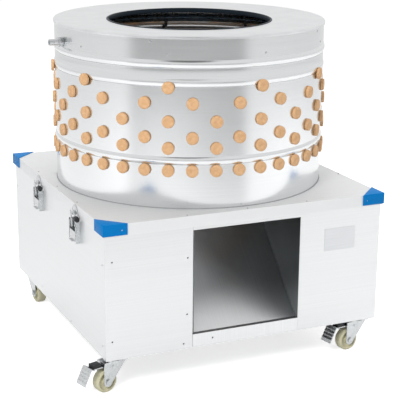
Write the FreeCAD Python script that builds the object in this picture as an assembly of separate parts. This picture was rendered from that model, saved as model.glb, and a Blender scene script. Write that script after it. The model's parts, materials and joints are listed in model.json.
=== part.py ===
import FreeCAD, Part
import math
import os
from FreeCAD import Vector

# Poultry plucker: a drum with rubber fingers over a turning feather plate, on a base box with casters
# Millimetres. Origin on the floor under the drum axis, +Z up, front face towards -Y.

# Base box
caster_height = 100.0
base_half = 427.0
sheet = 1.5
rail = 30.0
rail_wall = 2.0
seat_gap = 0.3
seam_gap = 0.5

# Deck, the lid that carries the drum
deck_rise = 388.0
skirt_height = 33.0
skirt_gap = 2.5
deck_hole_radius = 392.0
guard_thickness = 3.0
guard_leg = 70.0
guard_height = 30.0
guard_top = 2.0

# Drum and its rubber fingers
drum_radius = 400.0
drum_height = 478.0
foot_flange = 12.0
bead_rises = (126.0, 342.0, 392.0)
bead_height = 21.0
bead_proud = (2.8, 2.4, 3.4)
finger_columns = 38
first_column_deg = -31.52
finger_levels = (339.0, 295.0, 245.0, 200.0, 171.0, 108.0)
bead_steps = 6
head_standoff = 0.2
column_kinds = ((0, 2, 4, 5), (1, 3, 5), (2, 4, 5), (1, 3, 5))
head_radius = 17.4
head_thickness = 8.5
neck_radius = 10.0
neck_clearance = 0.1
finger_length = 88.0
shoulder_radius = 13.0
shoulder_thickness = 5.0
tip_radius = 7.5
rib_count = 5
rib_depth = 1.2
finger_root = 11.0
head_round = 1.6

# Ring on top of the drum
ring_overhang = 3.0
ring_edge_height = 8.0
mouth_radius = 242.5
ring_border = 22.0
ring_fall = 4.0
ring_skirt = 24.0
trim_width = 4.0
trim_height = 12.0
mouth_flat = 8.0
mouth_lip = 10.0
trim_sheet = 2.0

# Water pipe inside the drum and its inlet
pipe_radius = 12.0
pipe_below_top = 51.0
pipe_wall_gap = 3.0
pipe_bore = 9.5
clip_count = 9
first_clip_deg = 7.9
clip_wall = 3.0
clip_half = 5.0
nozzle_radius = 5.0
nozzle_length = 16.0
inlet_deg = -88.0
inlet_reach = 40.0
inlet_radius = 9.0
inlet_bore = 6.0
inlet_hex = 13.0
inlet_hex_length = 14.0
nozzle_bore = 1.5
clip_foot = 0.2
clip_tall = 14.0

# Feather plate and its drive
plate_radius = 375.0
plate_thickness = 4.0
plate_above_deck = 15.0
plate_rings = ((275.0, 20), (192.0, 14), (108.0, 8))
hub_radius = 60.0
hub_flange = 8.0
hub_boss_radius = 28.0
hub_boss_height = 25.0
shaft_radius = 15.0
running = 0.05
fit = 0.02
housing_radius = 42.0
housing_flange = 80.0
housing_flange_thickness = 8.0
housing_neck_above = 47.0
housing_barrel_below = 80.0
bearing_outer = 31.0
bearing_width = 16.0
drive_beam_z = 380.0
drive_beam_y = 60.0
pulley_z = 170.0
pulley_width = 40.0
driven_radius = 140.0
motor_pulley_radius = 35.0
belt_top = 13.0
belt_height = 8.0
belt_gap = 0.4
belt_pitch = 18.0
motor_y = base_half - 177.0
motor_radius = 72.0
motor_height = 195.0
motor_fins = 24
fin_height = 5.0
fin_width = 3.0
motor_shaft_radius = 12.0
motor_beam_z = 210.0
motor_beam_y = 80.0
mount_thickness = 8.0
mount_half = 98.0
bolt_radius = 4.0
bolt_head_radius = 6.5
bolt_head_height = 5.0
bolt_clearance = 0.1
bolt_tail = 4.0
housing_bolt = 60.0
mount_bolt_x = 86.0
motor_bolt = 56.0
motor_flange = 76.0
motor_flange_thickness = 10.0
nut_height = 6.5
nut_across = 12.0
bearing_in = 2.0
bearing_step = 3.0
shaft_tail = 10.0
centre_bolt_grip = 24.0
centre_cap_radius = 18.0
hub_bolt_circle = 45.0
pulley_web = 12.0
pulley_rim = 22.0
shaft_room = 4.0
fan_cover = 40.0
terminal_depth = 40.0
terminal_half = 35.0
shaft_in_motor = 20.0

# Chute in the front
chute_left = -166.0
chute_right = 163.0
chute_top = 345.0
lip_height = 40.0
lip_depth = 15.0
chute_slope_deg = 46.0
left_reveal = 4.0
tray_front_rise = 346.0
tray_slope_deg = 0.54
wall_gap = 0.3
wall_below_floor = 8.0
collar_gap = 0.5

# Casters
caster_inset = 41.0
caster_trail = 36.0
wheel_radius = 33.0
wheel_width = 28.0
wheel_hub_radius = 12.0
axle_radius = 5.0
fork_half = 19.0
fork_sheet = 2.5
crown_radius = 24.0
crown_height = 6.6
plate_half = 32.0
plate_sheet = 3.0
race_height = 6.0
race_radius = 16.0
kingpin_radius = 6.0
kingpin_head = 10.0
caster_bolt_half = 23.0
pad_thickness = 4.0
pad_half = 42.0
pedal_reach = 116.0
pedal_half = 13.0
pedal_sheet = 3.0
caster_turns = {"front_left": 195.0, "front_right": 190.0, "rear_left": -85.0, "rear_right": -40.0}
head_side = {"front_left": 1, "front_right": 1, "rear_left": -1, "rear_right": 1}
race_gap = 0.4
axle_end = 5.0
axle_head_radius = 8.0
fork_eye = 14.0
hood_front = 48.0
pedal_pin = 3.0
pedal_eye = 6.0
pedal_sides = 16.0
wheel_web = 8.0
wheel_rim = 9.0
wheel_round = 3.5
pedal_knee = 80.0
pedal_crest = 92.0
pedal_lift = 6.0
pedal_foot_half = 21.0
pad_start = 54.0
pedal_tip_z = 40.0
pedal_ridges = 4
pedal_pad = 10.0

# Latches on the left side and hinges on the right side
latch_at = {"front": -198.0, "rear": 152.0}
latch_half = 30.0
latch_low = 379.0
latch_high = 442.0
latch_sheet = 2.0
latch_flange = 14.0
lever_pivot_out = 10.0
lever_pivot_z = 432.0
lever_half = 25.0
lever_low = 384.0
bail_arm = 14.0
bail_arm_deg = 262.0
bail_wire = 2.0
bail_half = 19.0
bail_bar_out = 13.0
grip_radius = 7.5
grip_length = 14.0
grip_z = 452.0
keeper_half = 24.0
keeper_sheet = 2.0
ledge_thickness = 2.5
ledge_reach = 12.5
hinge_y = 200.0
hinge_half = 38.0
hinge_axis_out = 7.0
knuckle_radius = 6.0
hinge_pin_radius = 3.0
hinge_leaf = 3.0
hinge_leaf_height = 26.0
knuckles = 5
cheek = 2.0
stub_pin = 2.5
keeper_foot = 4.0
ledge_half = 9.0
ledge_play = 0.7
web_drop = 6.0
tab_reach = 6.0
tab_half = 14.0
cheek_in = 4.0
lever_play = 0.06
grip_gap = 3.6
knuckle_gap = 0.15

# Control box on the right side
control_y = -120.0
control_half = 55.0
control_low = 250.0
control_height = 150.0
control_depth = 50.0
control_wall = 2.5
cover_thickness = 6.0
button_radius = 14.0
button_proud = 10.0
button_spacing = 56.0
gland_radius = 11.0
gland_length = 24.0
gland_wire_radius = 9.0
gland_thread = 8.0
gland_bore = 5.0
button_play = 0.1
button_flange = 4.0

# Screws and small parts on the panels
screw_head_radius = 4.2
screw_head_height = 2.0
screw_radius = 2.4
screw_length = 8.0
rivet_head_radius = 3.4
rivet_head_height = 1.2
rivet_radius = 2.0
plate_low_corner = (243.0, 232.0)
rating_width = 101.0
rating_height = 67.0
rating_thickness = 0.8
deck_rivets_at = (-187.0, -4.0, 183.0)
deck_rivet_inset = 9.0
guard_rivet_back = 15.0
guard_rivet_rise = 13.0
ring_rivet_deg = (-38.7, 42.6, 137.0, -133.0)
ring_rivet_drop = 16.0
latch_rivet_y = 12.0
latch_rivet_in = 8.0
leaf_rivet_y = 26.0
vent_rows = 7
vent_low = 220.0
vent_pitch = 20.0
vent_slot = 6.0
vent_length = 110.0
vent_x = 210.0
keeper_rivet_y = 14.0

# Levels and faces worked out from the sizes above
base_z = caster_height
deck_top = base_z + deck_rise
deck_under = deck_top - sheet
skirt_bottom = deck_top - skirt_height
deck_half = base_half + skirt_gap + sheet
frame_top = deck_under - seat_gap
frame_half = base_half - sheet
frame_inner = frame_half - rail
wall_inner = drum_radius - sheet
ring_top = deck_top + drum_height
wall_top = ring_top - sheet
plate_low = deck_top + plate_above_deck
plate_top = plate_low + plate_thickness
caster_at = base_half - caster_inset
pad_top = base_z + pad_thickness
housing_seat = drive_beam_z + rail
motor_seat = motor_beam_z + rail
chute_tan = math.tan(math.radians(chute_slope_deg))
tray_tan = math.tan(math.radians(tray_slope_deg))
lip_top = base_z + lip_height
slope_front = -base_half + lip_depth
tray_front = base_z + tray_front_rise
slope_run = (tray_front + tray_tan * lip_depth - lip_top) / (chute_tan - tray_tan)
slope_back = slope_front + slope_run
slope_top = lip_top + slope_run * chute_tan
corner_in = base_half - 20.0
front_screws = (
    (-corner_in, 283.0), (-corner_in - 1.0, 55.0), (chute_left - 20.0, 268.0), (chute_left - 21.0, 103.0),
    (chute_left - 31.0, 16.0),
)
lip_screws = ((chute_left + 58.0, 21.0),)
side_screws = (
    (-corner_in + 2.0, 272.0), (-corner_in + 5.0, 37.0), (-125.0, 10.0), (164.0, 21.0),
    (corner_in + 5.0, 42.0), (corner_in + 6.0, 287.0),
)
rear_screws = (
    (-corner_in, 283.0), (-corner_in, 55.0), (0.0, 370.0), (0.0, 19.0), (corner_in, 283.0),
    (corner_in, 55.0),
)
lower_leaf_high = skirt_bottom - knuckle_radius - 2.0
upper_leaf_low = skirt_bottom + knuckle_radius + 1.5
upper_leaf_high = deck_top - 3.0
pipe_z = ring_top - pipe_below_top
pipe_centre = wall_inner - pipe_wall_gap - pipe_radius
keeper_centre_z = deck_top - 3.0 - keeper_half
bail_bar_z = skirt_bottom + 8.8
crown_top = base_z - plate_sheet - race_height - race_gap
crown_low = crown_top - crown_height
pedal_pivot = (18.0, wheel_radius * 2 + 10.0)


def box(x0, x1, y0, y1, z0, z1):
    return Part.makeBox(x1 - x0, y1 - y0, z1 - z0, Vector(x0, y0, z0))


def post(radius, z0, z1, x=0.0, y=0.0):
    return Part.makeCylinder(radius, z1 - z0, Vector(x, y, z0))


def rod(radius, start, end):
    line = Vector(*end) - Vector(*start)
    return Part.makeCylinder(radius, line.Length, Vector(*start), line)


def pipe(outer, inner, z0, z1, x=0.0, y=0.0):
    return post(outer, z0, z1, x, y).cut(post(inner, z0 - 1, z1 + 1, x, y))


def turned(profile):
    """Solid turned about the Z axis from a closed outline of (radius, height) points."""
    points = [Vector(r, 0, z) for r, z in profile]
    face = Part.Face(Part.makePolygon(points + points[:1]))
    return face.revolve(Vector(0, 0, 0), Vector(0, 0, 1), 360)


def slab(outline, axis, start, end):
    """Plate with a closed outline, from start to end along X, Y or Z."""
    if axis == "x":
        points = [Vector(start, a, b) for a, b in outline]
        move = Vector(end - start, 0, 0)
    elif axis == "y":
        points = [Vector(a, start, b) for a, b in outline]
        move = Vector(0, end - start, 0)
    else:
        points = [Vector(a, b, start) for a, b in outline]
        move = Vector(0, 0, end - start)
    return Part.Face(Part.makePolygon(points + points[:1])).extrude(move)


def hexagon(across, x, y):
    radius = across / math.sqrt(3)
    return [
        (x + radius * math.cos(math.radians(60 * i)), y + radius * math.sin(math.radians(60 * i)))
        for i in range(6)
    ]


def spun(shape, degrees, about=(0, 0, 0), axis=(0, 0, 1)):
    copy = shape.copy()
    copy.rotate(Vector(*about), Vector(*axis), degrees)
    return copy


def moved(shape, x=0.0, y=0.0, z=0.0):
    copy = shape.copy()
    copy.translate(Vector(x, y, z))
    return copy


def joined(shapes):
    whole = shapes[0]
    if len(shapes) > 1:
        whole = whole.fuse(shapes[1:])
    return whole.removeSplitter()


def drilled(shape, tools):
    return shape.cut(Part.makeCompound(tools)) if tools else shape


def save(name, shapes):
    group = shapes if isinstance(shapes, list) else [shapes]
    solids = [solid for shape in group for solid in shape.Solids]
    whole = solids[0] if len(solids) == 1 else Part.makeCompound(solids)
    whole.exportStep("parts/" + name + ".step")
    print(name, len(solids), "solids", "valid" if whole.isValid() else "NOT VALID", round(whole.Volume))


# Base box

def square_tube(x0, x1, y0, y1, z0, z1, axis):
    """Square tube with open ends along the named axis."""
    low = [x0, y0, z0]
    high = [x1, y1, z1]
    for i in range(3):
        if "xyz"[i] == axis:
            low[i] -= 1
            high[i] += 1
        else:
            low[i] += rail_wall
            high[i] -= rail_wall
    outer = box(x0, x1, y0, y1, z0, z1)
    return outer.cut(box(low[0], high[0], low[1], high[1], low[2], high[2]))


def frame_members():
    a, b = frame_inner, frame_half
    post_low = pad_top + rail
    post_high = frame_top - rail
    members = []
    for z in (pad_top, post_high):
        for y0, y1 in ((-b, -a), (a, b)):
            members.append(square_tube(-b, b, y0, y1, z, z + rail, "x"))
    levels = (pad_top, motor_beam_z, drive_beam_z, post_high)
    for z in levels:
        for x0, x1 in ((-b, -a), (a, b)):
            members.append(square_tube(x0, x1, -a, a, z, z + rail, "y"))
    for x0, x1 in ((-b, -a), (a, b)):
        for y0, y1 in ((-b, -a), (a, b)):
            members.append(square_tube(x0, x1, y0, y1, post_low, post_high, "z"))
    for y, z in beam_places():
        members.append(square_tube(-a, a, y - rail / 2, y + rail / 2, z, z + rail, "x"))
    for sx in (-1, 1):
        for sy in (-1, 1):
            near = caster_at - pad_half
            pad = box(near, b, near, b, base_z, pad_top)
            pad = pad.mirror(Vector(), Vector(1, 0, 0)) if sx < 0 else pad
            pad = pad.mirror(Vector(), Vector(0, 1, 0)) if sy < 0 else pad
            members.append(pad)
    return members


def beam_places():
    drive = [(-drive_beam_y, drive_beam_z), (drive_beam_y, drive_beam_z)]
    motor = [(motor_y - motor_beam_y, motor_beam_z), (motor_y + motor_beam_y, motor_beam_z)]
    return drive + motor


# Screws: each is (point on the outer face, outward direction)


def screw_places():
    places = []
    for x, rise in front_screws + lip_screws:
        places.append(((x, -base_half, base_z + rise), (0, -1, 0)))
    for x, rise in rear_screws:
        places.append(((x, base_half, base_z + rise), (0, 1, 0)))
    for y, rise in side_screws:
        for side in (-1, 1):
            places.append(((side * base_half, y, base_z + rise), (side, 0, 0)))
    return places


def stud(place, head, head_height, shank, length):
    """Domed head on the face and a shank behind it."""
    point, out = Vector(*place[0]), Vector(*place[1])
    body = Part.makeCylinder(shank, length, point, -out)
    cap = Part.makeCone(head, head * 0.7, head_height, point, out)
    return body.fuse(cap).removeSplitter()


def shank_hole(place, radius, length):
    point, out = Vector(*place[0]), Vector(*place[1])
    return Part.makeCylinder(radius, length + 2, point + out, -out)


def panel_holes():
    return [shank_hole(place, screw_radius + running, screw_length + 1) for place in screw_places()]


def latch_rivet_places():
    places = []
    face = -base_half - latch_sheet
    for y in latch_at.values():
        for dy in (-latch_rivet_y, latch_rivet_y):
            for z in (latch_low + latch_rivet_in, latch_high - latch_rivet_in):
                places.append(((face, y + dy, z), (-1, 0, 0)))
    return places


def leaf_rivet_places(upper):
    places = []
    if upper:
        face = deck_half + hinge_leaf
        z = upper_leaf_low + (upper_leaf_high - upper_leaf_low) / 2
    else:
        face = base_half + hinge_leaf
        z = lower_leaf_high - hinge_leaf_height / 2
    for y in (-hinge_y, hinge_y):
        for dy in (-leaf_rivet_y, 0.0, leaf_rivet_y):
            places.append(((face, y + dy, z), (1, 0, 0)))
    return places


def base_rivets():
    latch = [stud(p, rivet_head_radius, rivet_head_height, rivet_radius, latch_sheet + sheet)
             for p in latch_rivet_places()]
    leaf = [stud(p, rivet_head_radius, rivet_head_height, rivet_radius, hinge_leaf + sheet)
            for p in leaf_rivet_places(False)]
    return latch + leaf


def base_rivet_holes():
    latch = [shank_hole(p, rivet_radius + fit, latch_sheet + sheet) for p in latch_rivet_places()]
    leaf = [shank_hole(p, rivet_radius + fit, hinge_leaf + sheet) for p in leaf_rivet_places(False)]
    return latch + leaf


def machine_bolt_places():
    """Bolts of the casters, housing, motor mount and motor: (x, y, face, way the head faces, grip)."""
    bolts = []
    for sx in (-1, 1):
        for sy in (-1, 1):
            for dx in (-caster_bolt_half, caster_bolt_half):
                for dy in (-caster_bolt_half, caster_bolt_half):
                    x = sx * caster_at + dx
                    y = sy * caster_at + dy
                    bolts.append((x, y, base_z - plate_sheet, -1,
                                  plate_sheet + pad_thickness + bolt_tail))
    for dx in (-housing_bolt, housing_bolt):
        for y in (-drive_beam_y, drive_beam_y):
            top = housing_seat + housing_flange_thickness
            bolts.append((dx, y, top, 1, housing_flange_thickness + rail_wall + bolt_tail))
    for dx in (-mount_bolt_x, mount_bolt_x):
        for dy in (-motor_beam_y, motor_beam_y):
            top = motor_seat + mount_thickness
            bolts.append((dx, motor_y + dy, top, 1, mount_thickness + rail_wall + bolt_tail))
    for dx in (-motor_bolt, motor_bolt):
        for dy in (-motor_bolt, motor_bolt):
            top = motor_seat + mount_thickness + motor_flange_thickness
            bolts.append((dx, motor_y + dy, top, 1,
                          mount_thickness + motor_flange_thickness + nut_height))
    return bolts


def machine_bolts():
    solids = []
    for x, y, face, way, grip in machine_bolt_places():
        shank = post(bolt_radius, face - way * grip, face, x, y) if way > 0 else post(bolt_radius, face,
                face + grip, x, y)
        if way > 0:
            head = post(bolt_head_radius, face, face + bolt_head_height, x, y)
        else:
            head = post(bolt_head_radius, face - bolt_head_height, face, x, y)
        solids.append(shank.fuse(head).removeSplitter())
    for dx in (-motor_bolt, motor_bolt):
        for dy in (-motor_bolt, motor_bolt):
            nut = slab(hexagon(nut_across, dx, motor_y + dy), "z", motor_seat - nut_height, motor_seat)
            solids.append(nut.cut(post(bolt_radius + fit, motor_seat - 10, motor_seat + 1, dx,
                                       motor_y + dy)))
    return solids


def bolt_holes():
    holes = []
    for x, y, face, way, grip in machine_bolt_places():
        radius = bolt_radius + bolt_clearance
        if way > 0:
            holes.append(post(radius, face - grip - 1, face + 1, x, y))
        else:
            holes.append(post(radius, face - 1, face + grip + 1, x, y))
    return holes


def make_frame():
    tools = panel_holes() + bolt_holes() + base_rivet_holes()
    save("base_frame", [drilled(member, near_tools(member, tools)) for member in frame_members()])


def near_tools(shape, tools):
    return [tool for tool in tools if tool.BoundBox.intersect(shape.BoundBox)]


def make_panels():
    b, f = base_half, frame_half
    top = frame_top
    tools = panel_holes() + base_rivet_holes()
    left = box(-b, -f, -f, f, base_z, top)
    right = box(f, b, -f, f, base_z, top)
    wires = post_x(gland_wire_radius, f - 1, b + 1, control_y, control_low + control_height / 2)
    save("left_side_panel", drilled(left, near_tools(left, tools)))
    save("right_side_panel", drilled(right, near_tools(right, tools)).cut(wires))
    rear = box(-b, b, f, b, base_z, top)
    slots = []
    for side in (-1, 1):
        for i in range(vent_rows):
            z = vent_low + i * vent_pitch
            x = side * vent_x
            slots.append(box(x - vent_length / 2, x + vent_length / 2, f - 1, b + 1, z, z + vent_slot))
    save("rear_panel", drilled(rear, near_tools(rear, tools) + slots))
    split = chute_left - left_reveal
    front = box(-b, split - seam_gap / 2, -b, -f, base_z, top)
    save("front_left_panel", drilled(front, near_tools(front, tools)))
    outline = [(split + seam_gap / 2, base_z + chute_top), (chute_right, base_z + chute_top)]
    outline += [(chute_right, base_z), (b, base_z), (b, top), (split + seam_gap / 2, top)]
    save("front_right_panel", slab(outline, "y", -b, -f))
    x0, z0 = plate_low_corner
    save("rating_plate", box(x0, x0 + rating_width, -b - rating_thickness, -b, base_z + z0,
                             base_z + z0 + rating_height))
    studs = [stud(p, screw_head_radius, screw_head_height, screw_radius, screw_length)
             for p in screw_places()]
    save("panel_screws", studs + base_rivets())


def post_x(radius, x0, x1, y, z):
    return Part.makeCylinder(radius, x1 - x0, Vector(x0, y, z), Vector(1, 0, 0))


def post_y(radius, y0, y1, x, z):
    return Part.makeCylinder(radius, y1 - y0, Vector(x, y0, z), Vector(0, 1, 0))


# Chute and catch tray

def make_chute():
    b, f = base_half, frame_half
    slope = math.radians(chute_slope_deg)
    fold = sheet * math.tan(slope / 2)
    upper = [(-b, base_z), (-b, lip_top), (slope_front, lip_top), (slope_back, slope_top)]
    drop = sheet / math.cos(slope)
    lower = [(slope_back, slope_top - drop), (slope_front + fold, lip_top - sheet),
             (-f, lip_top - sheet), (-f, base_z)]
    left = chute_left + wall_gap
    right = chute_right - wall_gap
    floor = slab(upper + lower, "x", left, right)
    lip = box(chute_left - left_reveal + seam_gap, left, -b, -f, base_z, lip_top)
    floor = joined([floor, lip])
    save("chute_floor", drilled(floor, near_tools(floor, panel_holes())))
    wall_low = pad_top + rail + seat_gap
    wall_high = tray_front - sheet - seat_gap
    under = drop + wall_below_floor
    foot = slope_front + (wall_low + under - lip_top) / chute_tan
    head = slope_front + (wall_high + under - lip_top) / chute_tan
    outline = [(-f + seat_gap, wall_low), (-f + seat_gap, wall_high), (head, wall_high), (foot, wall_low)]
    walls = [slab(outline, "x", chute_left - sheet, chute_left),
             slab(outline, "x", chute_right, chute_right + sheet)]
    save("chute_side_walls", walls)
    edge = frame_half - seat_gap
    post_notch = frame_inner - seat_gap
    back = slope_back + seat_gap
    outline = [
        (-post_notch, -edge), (chute_left, -edge), (chute_left, back), (chute_right, back),
        (chute_right, -edge), (post_notch, -edge), (post_notch, -post_notch), (edge, -post_notch),
        (edge, post_notch), (post_notch, post_notch), (post_notch, edge), (-post_notch, edge),
        (-post_notch, post_notch), (-edge, post_notch), (-edge, -post_notch), (-post_notch, -post_notch),
    ]
    tray = slab(outline, "z", -sheet, 0.0).cut(post(housing_radius + collar_gap, -5, 5))
    tray = spun(tray, tray_slope_deg, axis=(1, 0, 0))
    save("catch_tray", moved(tray, z=tray_front + base_half * tray_tan))


# Drive under the feather plate

def make_drive():
    flange_top = housing_seat + housing_flange_thickness
    neck_top = flange_top + housing_neck_above
    barrel_low = housing_seat - housing_barrel_below
    body = box(-housing_flange, housing_flange, -housing_flange, housing_flange, housing_seat, flange_top)
    body = joined([body, post(housing_radius, barrel_low, neck_top)])
    seat_depth = bearing_width + bearing_in
    bores = [post(bearing_outer - bearing_step, barrel_low - 1, neck_top + 1)]
    bores.append(post(bearing_outer + fit, neck_top - seat_depth, neck_top + 1))
    bores.append(post(bearing_outer + fit, barrel_low - 1, barrel_low + seat_depth))
    for tool in bores:
        body = body.cut(tool)
    save("bearing_housing", drilled(body, near_tools(body, bolt_holes())))
    upper = pipe(bearing_outer, shaft_radius + running, neck_top - seat_depth, neck_top - bearing_in)
    lower = pipe(bearing_outer, shaft_radius + running, barrel_low + bearing_in, barrel_low + seat_depth)
    save("drive_bearings", [upper, lower])
    shaft = post(shaft_radius, pulley_z - shaft_tail, plate_low)
    save("drive_shaft", shaft.cut(post(bolt_radius, plate_low - centre_bolt_grip, plate_low + 1)))
    boss_low = plate_low - hub_flange - hub_boss_height
    hub = joined([post(hub_radius, plate_low - hub_flange, plate_low),
                  post(hub_boss_radius, boss_low, plate_low)])
    hub = hub.cut(post(shaft_radius + fit, boss_low - 1, plate_low + 1))
    ring = hub_bolts()
    save("plate_hub", drilled(hub, [post(bolt_radius + fit, boss_low, plate_low + 1, x, y) for x,
                                    y in ring]))
    plate = post(plate_radius, plate_low, plate_top)
    holes = [post(bolt_radius + fit, plate_low - 1, plate_top + 1, x, y) for x, y in ring + [(0.0, 0.0)]]
    holes += [post(neck_radius + neck_clearance, plate_low - 1, plate_top + 1, x, y) for x,
              y in plate_finger_places()]
    save("feather_plate", drilled(plate, holes))
    bolts = []
    for x, y in ring:
        grip = plate_thickness + hub_flange + nut_height
        bolts.append(joined([post(bolt_radius, plate_top - grip, plate_top, x, y),
                             post(bolt_head_radius, plate_top, plate_top + bolt_head_height, x, y)]))
        nut = slab(hexagon(nut_across, x, y), "z", plate_low - hub_flange - nut_height,
                   plate_low - hub_flange)
        bolts.append(nut.cut(post(bolt_radius + fit, plate_low - hub_flange - 20, plate_low, x, y)))
    bolts.append(joined([post(bolt_radius, plate_low - centre_bolt_grip, plate_top),
                         post(centre_cap_radius, plate_top, plate_top + bolt_head_height)]))
    save("plate_bolts", bolts)


def hub_bolts():
    angles = [math.radians(45 + 90 * i) for i in range(4)]
    return [(hub_bolt_circle * math.cos(a), hub_bolt_circle * math.sin(a)) for a in angles]


def belt_levels():
    middle = pulley_z + pulley_width / 2
    return [middle - belt_pitch / 2, middle + belt_pitch / 2]


def pulley(radius, bore, hub, x, y, rim=0.0):
    body = post(radius, pulley_z, pulley_z + pulley_width, x, y)
    if rim:
        web_low = pulley_z + (pulley_width - pulley_web) / 2
        for z0, z1 in ((pulley_z - 1, web_low), (web_low + pulley_web, pulley_z + pulley_width + 1)):
            body = body.cut(pipe(radius - rim, hub, z0, z1, x, y))
    for z in belt_levels():
        half = belt_top / 2 + belt_gap
        floor = radius - belt_height - belt_gap
        body = body.cut(pipe(radius + 5, floor, z - half, z + half, x, y))
    return body.cut(post(bore + fit, pulley_z - 1, pulley_z + pulley_width + 1, x, y))


def belt_face(inset):
    """Outline of the belt run at a depth below the pulley rims, two arcs and two straight runs."""
    big = driven_radius - inset
    small = motor_pulley_radius - inset
    lean = math.asin((big - small) / motor_y)
    c, s = math.cos(lean), math.sin(lean)
    a, b = Vector(big * c, big * s, 0), Vector(-big * c, big * s, 0)
    d, e = Vector(small * c, motor_y + small * s, 0), Vector(-small * c, motor_y + small * s, 0)
    edges = [Part.Arc(b, Vector(0, -big, 0), a).toShape(), Part.LineSegment(a, d).toShape()]
    edges += [Part.Arc(d, Vector(0, motor_y + small, 0), e).toShape(), Part.LineSegment(e, b).toShape()]
    return Part.Face(Part.Wire(edges))


def make_motor():
    save("driven_pulley", pulley(driven_radius, shaft_radius, hub_boss_radius, 0.0, 0.0, pulley_rim))
    save("motor_pulley", pulley(motor_pulley_radius, motor_shaft_radius, 0.0, 0.0, motor_y))
    loop = belt_face(0.0).extrude(Vector(0, 0, belt_top)).cut(belt_face(belt_height).extrude(Vector(0,
            0, belt_top)))
    save("v_belts", [moved(loop, z=z - belt_top / 2) for z in belt_levels()])
    seat = motor_seat + mount_thickness
    m = mount_half
    mount = box(-m, m, motor_y - m, motor_y + m, motor_seat, seat)
    mount = mount.cut(post(motor_shaft_radius + shaft_room, motor_seat - 1, seat + 1, 0.0, motor_y))
    save("motor_mount", drilled(mount, near_tools(mount, bolt_holes())))
    g = motor_flange
    pieces = [box(-g, g, motor_y - g, motor_y + g, seat, seat + motor_flange_thickness)]
    pieces.append(post(motor_radius, seat, seat + motor_height, 0.0, motor_y))
    fin_low = seat + motor_flange_thickness + bolt_head_height + 4
    fin_high = seat + motor_height - fan_cover
    fin = box(motor_radius - 2, motor_radius + fin_height, -fin_width / 2, fin_width / 2, fin_low,
              fin_high)
    for i in range(motor_fins):
        pieces.append(moved(spun(fin, 360.0 * (i + 0.5) / motor_fins), y=motor_y))
    pieces.append(post(motor_radius + fin_height, fin_high, seat + motor_height, 0.0, motor_y))
    box_low = seat + motor_height * 0.35
    pieces.append(box(motor_radius - 4, motor_radius + terminal_depth, motor_y - terminal_half,
                      motor_y + terminal_half, box_low, box_low + 2 * terminal_half))
    motor = joined(pieces).cut(post(motor_shaft_radius + running, seat - 1, seat + shaft_in_motor, 0.0,
                                    motor_y))
    save("motor", drilled(motor, near_tools(motor, bolt_holes())))
    save("motor_shaft", post(motor_shaft_radius, pulley_z - 3, seat + shaft_in_motor - 1, 0.0, motor_y))
    save("machine_bolts", machine_bolts())


# Rubber fingers

def finger(head_seat, shoulder_seat):
    """Finger along +X, with its neck between the two seats, measured from the origin."""
    tip = shoulder_seat - finger_length
    root = shoulder_seat - shoulder_thickness
    outline = [(0, tip), (tip_radius - 2, tip), (tip_radius, tip + 3)]
    step = (root - tip - 6) / rib_count
    for i in range(rib_count):
        low = tip + 3 + i * step
        r = tip_radius + (finger_root - tip_radius) * (i + 0.5) / rib_count
        outline += [(r - rib_depth, low + 0.15 * step), (r - rib_depth, low + 0.4 * step)]
        outline += [(r, low + 0.55 * step), (r, low + step)]
    outline += [(finger_root, root), (shoulder_radius, root), (shoulder_radius, shoulder_seat)]
    outline += [(neck_radius, shoulder_seat), (neck_radius, head_seat), (head_radius - 0.8, head_seat)]
    outline += [(head_radius, head_seat + 0.8), (head_radius, head_seat + head_thickness - head_round)]
    outline += [(head_radius - head_round, head_seat + head_thickness), (0, head_seat + head_thickness)]
    return spun(turned(outline), 90, axis=(0, 1, 0))


def head_seat_at(level):
    """Distance of a head's back face from the drum axis: on the wall, or on a bead that it reaches."""
    seat = drum_radius
    for rise, proud in zip(bead_rises, bead_proud):
        if level + head_radius > rise and level - head_radius < rise + bead_height:
            seat = max(seat, drum_radius + proud + head_standoff)
    return seat


def drum_finger_places():
    places = []
    half = finger_columns // 2
    for k in range(-half, finger_columns - half):
        degrees = first_column_deg + 360.0 / finger_columns * k - 90.0
        for kind in column_kinds[k % len(column_kinds)]:
            places.append((degrees, finger_levels[kind]))
    return places


def plate_finger_places():
    places = []
    for radius, count in plate_rings:
        for i in range(count):
            a = 2 * math.pi * (i + 0.5) / count
            places.append((radius * math.cos(a), radius * math.sin(a)))
    return places


def make_fingers():
    inner = math.sqrt(wall_inner ** 2 - shoulder_radius ** 2) - fit
    kinds = {level: finger(head_seat_at(level), inner) for level in finger_levels}
    fingers = [moved(spun(kinds[level], degrees), z=deck_top + level) for degrees,
               level in drum_finger_places()]
    save("drum_fingers", fingers)
    upright = spun(finger(plate_thickness + fit, 0.0), 90, axis=(0, 1, 0))
    upright = moved(upright, z=plate_top + fit)
    save("plate_fingers", [moved(upright, x, y) for x, y in plate_finger_places()])


# Drum unit

def bead_outline(radius):
    """Points up a wall of this radius, with the swaged beads bulging outwards."""
    points = [(radius, deck_top)]
    for rise, proud in zip(bead_rises, bead_proud):
        for i in range(bead_steps + 1):
            bulge = proud * math.sin(math.pi * i / bead_steps)
            points.append((radius + bulge, deck_top + rise + bead_height * i / bead_steps))
    return points + [(radius, wall_top)]


def radial(radius, r0, r1, degrees, z):
    return moved(spun(post_x(radius, r0, r1, 0.0, 0.0), degrees), z=z)


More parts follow.
